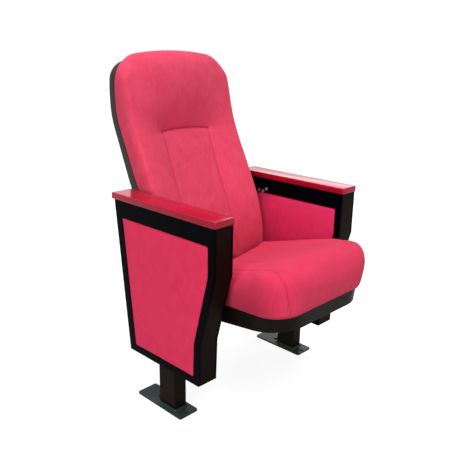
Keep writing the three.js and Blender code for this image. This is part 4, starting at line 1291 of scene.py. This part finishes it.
@dataclass
class SeatCushion:
    """The seat's cushion: a deep front roll, a dished top and sewn sides, in the tilted frame of the seat."""

    tilt: float = math.radians(3)
    half: float = 0.224
    front: float = 0.325
    rear: float = 0.109
    front_corner: float = 0.094
    rear_corner: float = 0.022
    rim: float = 0.029
    fit: float = 0.0003
    widest_share: float = 0.52
    crown: float = 0.009
    dish: float = 0.017
    rolls: Inset = Inset(0.032, 0.074, 0.028)
    flare: Inset = Inset(0.020, 0.020, 0.003)
    fullness: float = 0.84
    inner_corner: float = 0.066
    ridge: float = 0.009
    ridge_in: float = 0.055
    ridge_width: float = 0.018
    ridge_corner: float = 0.170
    seam: tuple = (
        (0.190, 0.075, 0.080), (0.190, 0.0, 0.100), (0.190, -0.07, 0.120), (0.190, -0.130, 0.133),
        (0.191, -0.161, 0.140), (0.191, -0.191, 0.146), (0.189, -0.217, 0.152), (0.184, -0.240, 0.156),
        (0.181, -0.260, 0.157), (0.183, -0.277, 0.154), (0.185, -0.291, 0.147), (0.184, -0.299, 0.137),
        (0.183, -0.305, 0.125), (0.180, -0.308, 0.105), (0.173, -0.3085, 0.076), (0.165, -0.306, 0.045),
    )
    # painted shadow along the foot where the cushion meets the pan, and painted shade darker towards the bottom of
    # the sides
    shade_height: float = 0.013
    side_shade_start: float = 0.185
    side_shade_reach: float = 0.03
    side_shade_height: float = 0.11
    side_shade: float = 0.45
    side_shade_fade: float = 0.7
    seam_mark: float = 0.42
    seam_line: float = 0.0022
    seam_hold: float = 0.5
    seam_hold_width: float = 0.005
    rim_hold: float = 0.0012
    foot_shade: float = 0.85
    ends: tuple = (-0.307, 0.112)
    rises: tuple = (0.142, 0.050)
    bow_half: float = 0.206
    seam_width: float = 0.0026
    seam_depth: float = 0.0015
    cell: float = 0.0068
    stuffing: Stuffing = Stuffing(4.0, 0.005)

    def rise(self, y: Points) -> Points:
        """Return how high the top stands over the pan's rim."""
        return np.interp(y, self.ends, self.rises)

    def top(self, x: Points, y: Points) -> Points:
        """Return the height of the top, with its crown and dish."""
        bow = np.interp(y, self.ends, (self.crown, -self.dish)) * (1 - ease(np.abs(x) / self.bow_half))
        ridge = self.ridge * groove(self.inside(x, y) - self.ridge_in, self.ridge_width)
        return self.rim + self.rise(y) + bow + ridge

    def inside(self, x: Points, y: Points) -> Points:
        """Return how far points lie inside the ridge's outline, which has no rear end."""
        across = np.abs(x) - (self.half - self.ridge_corner)
        along = -y - (self.front - self.ridge_corner)
        outside = np.hypot(np.maximum(across, 0), np.maximum(along, 0))
        return self.ridge_corner - outside - np.minimum(np.maximum(across, along), 0)

    def widest(self, y: Points) -> Points:
        """Return the height at which the sides are widest."""
        return self.rim + self.rise(y) * self.widest_share

    def at(self, flat: Points, height: Points) -> Points:
        """Return points in space from places on the plan and heights over the hinge."""
        y = flat[..., 1]
        cosine, sine = math.cos(self.tilt), math.sin(self.tilt)
        return np.stack([
            flat[..., 0],
            HINGE.y + y * cosine + height * sine,
            HINGE.z - y * sine + height * cosine,
        ], -1)

    def local(self, points: Points) -> Points:
        """Return points in the seat's own frame: across, along and over the hinge."""
        y, z = points[:, 1] - HINGE.y, points[:, 2] - HINGE.z
        cosine, sine = math.cos(self.tilt), math.sin(self.tilt)
        return np.stack([points[:, 0], y * cosine - z * sine, y * sine + z * cosine], -1)

    def build(self) -> Item:
        """Make the cushion.

        Returns:
            The finished piece.
        """
        columns = refined(-0.078, 0.078, self.cell, (), ())
        rows = refined(-0.165, 0.07, self.cell, (), ())
        plan = Plan(
            self.half, -self.front, self.rear, self.front_corner, self.rear_corner, columns, rows,
            np.linspace(0, 1, 20)[1:], (self.inner_corner, 0.004),
        )
        inner = plan.lattice(self.rolls)
        face = self.at(inner, self.top(inner[..., 0], inner[..., 1]))
        piece = grid_sheet("seat_cushion_cover", face)
        extrude_rim(piece, self.rings(plan), border(face))
        under = plan.lattice(self.flare)
        close_with(piece, self.at(under, np.full(under.shape[:2], self.rim + self.fit)))
        self.pad(piece)
        return settle(piece, "seat", "cushion_fabric", SHADED_SEAT_CLOTH, "seat_cushion")

    def rings(self, plan: Plan) -> list[Points]:
        """Return the loops from the top's rim down to the pan."""
        loops = []
        for angle in np.radians([7, 15, 24, 34, 44, 54, 64, 74, 83, 90]):
            flat = border(plan.lattice(self.rolls.scaled(1 - math.sin(angle) ** self.fullness)))
            low, share = self.widest(flat[:, 1]), math.cos(angle) ** self.fullness
            loops.append(self.at(flat, low + (self.top(flat[:, 0], flat[:, 1]) - low) * share))
        for share in (0.12, 0.27, 0.44, 0.62, 0.8, 1):
            flat = border(plan.lattice(self.flare.scaled(share)))
            low = self.widest(flat[:, 1])
            loops.append(self.at(flat, low + (self.rim + self.fit - low) * (1 - (1 - share) ** 2)))
        return loops

    def sewn_distance(self, piece: Item) -> Points:
        """Return each point's distance from the side seams, laid on the cover.

        Args:
            piece: the cover.

        Returns:
            The distances.
        """
        points = read_points(piece)
        knots = np.array(self.seam)
        at = np.linspace(0, len(knots) - 1, 120)
        line = np.stack([smooth_line(list(enumerate(knots[:, k])), at) for k in range(3)], 1)
        best = np.full(len(points), 1.0)
        for sign in (-1, 1):
            placed = line * (sign, 1, 1)
            laid = [piece.closest_point_on_mesh(Vector(p))[1] for p in self.at(placed[:, :2], placed[:, 2])]
            best = np.minimum(best, line_distance(points, np.array(laid)))
        return best

    def pad(self, piece: Item) -> None:
        """Swell the cover, smooth it, draw its seams in, and paint shade on its lower sides and a shadow along its
        foot.
        """
        height = self.local(read_points(piece))[:, 2]
        sewn = self.seam_hold * groove(self.sewn_distance(piece), self.seam_hold_width)
        held = np.maximum(height < self.rim + self.rim_hold, sewn)
        swell(piece, held, self.stuffing)
        refine(piece)
        seam = self.sewn_distance(piece)
        sink(piece, self.seam_depth * groove(seam, self.seam_width))
        points = self.local(read_points(piece))
        # painted shade: the sides darker towards the bottom, and a painted shadow along the foot at the pan
        low = points[:, 2] - self.rim
        fade = 1 - self.side_shade_fade * ease(low / self.side_shade_height)
        side = self.side_shade * ease((np.abs(points[:, 0]) - self.side_shade_start) / self.side_shade_reach) * fade
        foot = self.foot_shade * (1 - ease(low / self.shade_height))
        mark_seams_and_shade(piece, np.maximum(np.maximum(self.seam_mark * groove(seam, self.seam_line), foot), side))
        shade(piece, 80)


# Dressed copies of the rigid nodes


@dataclass(frozen=True)
class Dressing:
    """How a rigid node is dressed: its slot, its finish, the rounding of its edges and its name's last word."""

    slot: str
    finish: Finish
    edge: float
    word: str
    segments: int = 2
    body: str = "frame"

    def dress(self, node: str) -> None:
        """Make a node's finished copy, with merged faces, rounded edges and smooth curves.

        Args:
            node: the node.
        """
        piece = show(f"{node}_{self.word}", frame["nodes"][node].data.copy())
        piece.data.name = piece.name
        edit_all(
            piece, lambda: bpy.ops.mesh.remove_doubles(threshold=NODE_MERGE),
            lambda: bpy.ops.mesh.dissolve_limited(angle_limit=FLAT_ANGLE),
            bpy.ops.mesh.customdata_custom_splitnormals_clear,
        )
        if self.edge:
            soften_edges(piece, self.edge, self.segments)
        shade(piece, 35)
        modify(piece, "WEIGHTED_NORMAL", keep_sharp=True)
        settle(piece, self.body, self.slot, self.finish, node)


# The sides


@dataclass
class ArmCap:
    """A red arm cap with rounded corners and a soft top edge."""

    side: str
    corner: float = 0.006
    top_edge: float = 0.0032
    low_edge: float = 0.0012

    def build(self) -> Item:
        """Make the cap.

        Returns:
            The finished piece.
        """
        low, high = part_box(f"{self.side}_arm_cap")
        piece = add_block(f"{self.side}_arm_rest", low, high)
        select_edges(piece, lambda a, b: abs(a.x - b.x) + abs(a.y - b.y) < 1e-5)
        bpy.ops.mesh.bevel(offset=self.corner, segments=5, affect="EDGES")
        for height, width, segments in ((high.z, self.top_edge, 4), (low.z, self.low_edge, 2)):
            select_edges(piece, lambda a, b: abs(a.z - height) < 1e-5 and abs(b.z - height) < 1e-5)
            bpy.ops.mesh.bevel(offset=width, segments=segments, affect="EDGES")
        mode("OBJECT")
        shade(piece, 40)
        return settle(piece, "frame", "arm_red", ARM_RED, f"{self.side}_arm_cap")


@dataclass
class SidePanel:
    """One side's black frame."""

    side: str
    frame_edge: float = 0.0012

    def build(self) -> None:
        """Make the frame's pieces."""
        for node, finish in (("panel_band", PANEL_EDGE_REFLECTION), ("outer_cover", PANEL_BLACK), ("inner_cover", PANEL_BLACK)):
            Dressing("panel_black", finish, self.frame_edge, "lacquered").dress(f"{self.side}_{node}")


@dataclass
class SidePads:
    """The thin cloth pads in the sides' recesses: one is padded, and the four are its copies."""

    step: float = 0.009
    near: tuple = (0.0005, 0.0013, 0.0025, 0.0042, 0.0068, 0.0105)
    roll: float = 0.003
    thickness: float = 0.0036
    crown: float = 0.0006
    crown_reach: float = 0.05
    opening: float = 0.0603
    opening_rear: float = 0.080
    slot: tuple = (0.1777, 0.1843, 0.4027, 0.4273)
    stuffing: Stuffing = Stuffing(4.0, 0.0012)

    def edges(self) -> tuple[Points, Points]:
        """Read the recess's front and rear edges from a packed pad.

        Returns:
            The two edges' places along Y and their heights, from low to high.
        """
        node = frame["nodes"]["left_outer_pad"]
        places = np.array([tuple(node.matrix_world @ point.co) for point in node.data.vertices])
        places = places[np.argsort(places[:, 2])]
        return places[places[:, 1] < HINGE.y][:, 1:], places[places[:, 1] > HINGE.y][:, 1:]

    def lattice(self) -> tuple[Points, Points]:
        """Lay the pad's grid out between the recess's edges.

        Returns:
            The grid's places, and their distances from the pad's edge.
        """
        front, rear = self.edges()
        low, high, width = front[0, 1], front[-1, 1], rear[-1, 0] - front[-1, 0]
        rows = np.array(refined(low, high, self.step, (low, high), self.near))
        shares = np.array(refined(0, 1, self.step / width, (0, 1), [gap / width for gap in self.near]))
        starts, ends = (np.interp(rows, edge[:, 1], edge[:, 0])[:, None] for edge in (front, rear))
        across = starts + (ends - starts) * shares
        flat = np.stack([across, np.broadcast_to(rows[:, None], across.shape)], -1)
        rim = border(flat)
        return flat, line_distance(flat.reshape(-1, 2), np.vstack([rim, rim[:1]]) + 1e-9).reshape(across.shape)

    def master(self) -> Item:
        """Make a pad that lies on X = 0 and swells towards +X.

        Returns:
            The padded piece.
        """
        flat, gap = self.lattice()
        bulge = self.thickness * np.sqrt(1 - (1 - np.minimum(gap / self.roll, 1)) ** 2)
        bulge += self.crown * ease(gap / self.crown_reach)
        piece = grid_sheet("side_pad", np.concatenate([bulge[..., None], flat], -1))
        close_with(piece, np.concatenate([np.zeros_like(bulge)[..., None], flat], -1))
        swell(piece, (read_points(piece)[:, 0] < 0.0003).astype(float), self.stuffing)
        refine(piece)
        shade(piece, 60)
        return piece

    def place(self, master: Item, node: str) -> Item:
        """Copy the pad into one of the recesses.

        Args:
            master: the padded piece.
            node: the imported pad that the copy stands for.

        Returns:
            The copy.
        """
        low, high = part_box(node)
        sign = 1 if low.x > 0 else -1
        outwards = sign if "outer" in node else -sign
        piece = show(f"{node}_cloth", master.data.copy())
        points = read_points(piece)
        points[:, 0] = (low.x if outwards > 0 else high.x) + outwards * points[:, 0]
        write_points(piece, points)
        edit_all(piece, face_outwards)
        return piece

    def open_up(self, piece: Item) -> None:
        """Cut the hinge's opening and the stay's slot through an inner pad."""
        middle = piece.data.vertices[0].co.x
        near, far = middle - 0.02, middle + 0.02
        ends = (Vector((x, HINGE.y, HINGE.z)) for x in (near, far))
        carve(piece, add_rod("opening", self.opening, *ends, 48))
        carve(piece, add_block(
            "opening", (near, HINGE.y, HINGE.z - self.opening),
            (far, HINGE.y + self.opening_rear, HINGE.z + self.opening),
        ))
        front, rear, low, high = self.slot
        carve(piece, add_block("slot", (near, HINGE.y + front, low), (far, HINGE.y + rear, high)))
        shade(piece, 60)

    def build(self) -> None:
        """Make the four pads."""
        master = self.master()
        for side in SIDES:
            for name in ("outer_pad", "inner_pad"):
                node = f"{side}_{name}"
                piece = self.place(master, node)
                if name == "inner_pad":
                    self.open_up(piece)
                settle(piece, "frame", "side_fabric", SHADED_INNER_CLOTH if name == "inner_pad" else PANEL_CLOTH, node)
        bpy.data.objects.remove(master)


# The hidden and small hardware


def finish_nodes() -> None:
    """Give every node that still shows its finish."""
    kinds = {
        "inner_black": (INNER_BLACK, "top_rail back_stay hinge_bracket hinge_arm"),
        "panel_black": (PANEL_BLACK, "back_bracket"),
        "bare_steel": (
            BARE_STEEL, "arm_screw_front arm_screw_rear hinge_pin return_spring back_bolt_front back_bolt_middle "
            "back_bolt_rear",
        ),
        "nylon": (NYLON, "hinge_bush"), "rubber": (RUBBER, "stop_buffer"),
        "plywood": (PLYWOOD, "back_board seat_board"),
    }
    finishes = {kind: finish for finish, named in kinds.values() for kind in named.split()}
    for name, node in frame["nodes"].items():
        kind = name.split("_", 1)[1] if name.split("_")[0] in SIDES else name
        if kind in finishes:
            node.data.materials.clear()
            node.data.materials.append(finishes[kind].material())


def build_hardware() -> None:
    """Dress the posts, floor plates, pan and other rigid nodes that show."""
    for side in SIDES:
        Dressing("post_steel", POST_BLACK, 0, "painted").dress(f"{side}_post")
        Dressing("plate_steel", PLATE_GREY, 0.0009, "painted").dress(f"{side}_floor_plate")
        Dressing("plate_steel", PLATE_GREY, 0.0008, "bead").dress(f"{side}_foot_weld")
        for end in ("front", "rear"):
            Dressing("plate_steel", PLATE_GREY, 0.0008, "head").dress(f"{side}_anchor_screw_{end}")
    Dressing("shell_black", PAN_BLACK, 0.0018, "moulding", 3, "seat").dress("seat_pan")


# Light, floor and camera


@dataclass(frozen=True)
class Lamp:
    """A soft area lamp: its place, what it points at, its size and its power."""

    name: str
    place: Vector
    target: Vector
    size: float
    power: float

    def build(self) -> None:
        """Add the lamp."""
        data = bpy.data.lights.new(self.name, "AREA")
        data.shape = "SQUARE"
        data.size = self.size
        data.energy = self.power
        lamp = show(self.name, data)
        lamp.location = self.place
        lamp.rotation_euler = (self.target - self.place).to_track_quat("-Z", "Y").to_euler()


@dataclass(frozen=True)
class Studio:
    """The white studio: floor, world and lamps."""

    ambient: float = 0.158
    floor_size: float = 30
    lamps: tuple = (
        ("key", (-1.4, -2.9, 6.5), 3.6, 200), ("above", (0.3, 0.6, 4.5), 2.4, 105),
        ("front", (-0.6, -4.2, 0.9), 2.4, 66), ("fill", (-3.3, -1.0, 1.4), 1.8, 62),
        ("rear_glow", (3.7, 2.7, 2.1), 1.8, 19),
    )

    def seen(self, nodes: Nodes) -> Socket:
        """Return 1 for the rays that see the background, and 0 for those that only light."""
        path = nodes.add("ShaderNodeLightPath")
        either = nodes.maths("MAXIMUM", path.outputs["Is Camera Ray"], path.outputs["Is Glossy Ray"])
        return nodes.maths("MAXIMUM", either, path.outputs["Is Transmission Ray"])

    def build(self) -> None:
        """Make the studio."""
        scene = bpy.context.scene
        scene.view_settings.view_transform = "Standard"
        world = bpy.data.worlds.new("studio")
        scene.world = world
        world.use_nodes = True
        nodes = Nodes(world.node_tree)
        background = world.node_tree.nodes["Background"]
        nodes.put(background.inputs["Strength"], nodes.fit(self.seen(nodes), 0, 1, self.ambient, 1))
        background.inputs["Color"].default_value = (1, 1, 1, 1)
        self.floor()
        for name, place, size, power in self.lamps:
            Lamp(name, Vector(place), Vector((0, 0, 0.5)), size, power).build()

    def floor(self) -> None:
        """Add the pale floor, which keeps the shadow but looks white."""
        deselect()
        bpy.ops.mesh.primitive_grid_add(x_subdivisions=2, y_subdivisions=2, size=self.floor_size)
        floor = added("floor")
        material = bpy.data.materials.new("studio_floor")
        material.use_nodes = True
        nodes = Nodes(material.node_tree)
        shader = material.node_tree.nodes["Principled BSDF"]
        for name, value in (
            ("Base Color", (0.35, 0.35, 0.35, 1)), ("Roughness", 0.9), ("Specular IOR Level", 0),
            ("Emission Color", (1, 1, 1, 1)),
        ):
            shader.inputs[name].default_value = value
        place = nodes.add("ShaderNodeTexCoord").outputs["Object"]
        distance = nodes.add("ShaderNodeVectorMath", {0: place}, operation="LENGTH").outputs["Value"]
        level = nodes.fit(distance, 0.8, 2.5, 0.86, 1)
        nodes.put(shader.inputs["Emission Strength"], nodes.maths("MULTIPLY", self.seen(nodes), level))
        floor.data.materials.append(material)


@dataclass(frozen=True)
class Viewpoint:
    """The camera, placed as the photograph was taken."""

    place: tuple[float, float, float] = (-1.28137, -1.17536, 1.03897)
    yaw: float = -0.80770
    pitch: float = 0.30787
    roll: float = -0.01866
    lens: float = 45.246

    def build(self) -> None:
        """Add the camera and make it the scene's."""
        data = bpy.data.cameras.new("camera")
        data.lens = self.lens
        data.sensor_width = 36
        data.clip_end = 100
        camera = show("camera", data)
        ahead = math.cos(self.pitch)
        forward = Vector((-math.sin(self.yaw) * ahead, math.cos(self.yaw) * ahead, -math.sin(self.pitch)))
        level = Vector((math.cos(self.yaw), math.sin(self.yaw), 0))
        down = forward.cross(level)
        right = level * math.cos(self.roll) + down * math.sin(self.roll)
        lower = -level * math.sin(self.roll) + down * math.cos(self.roll)
        turned = Matrix((right, -lower, -forward)).transposed()
        camera.matrix_world = Matrix.Translation(Vector(self.place) + Vector((0, HINGE.y, 0))) @ turned.to_4x4()
        bpy.context.scene.camera = camera


def main() -> None:
    """Build the looks, piece by piece."""
    logging.basicConfig(level=logging.INFO, format="%(name)s: %(message)s")
    Viewpoint().build()
    for make in (make_weave, make_grain, make_paint, make_brushed, make_veneer, make_seams_and_shade):
        make()
    finish_nodes()
    form = BackForm()
    BackCushion(form).build()
    BackShell(form).build()
    SeatCushion().build()
    for side in SIDES:
        ArmCap(side).build()
        SidePanel(side).build()
    SidePads().build()
    build_hardware()
    Studio().build()


if __name__ == "__main__":
    main()
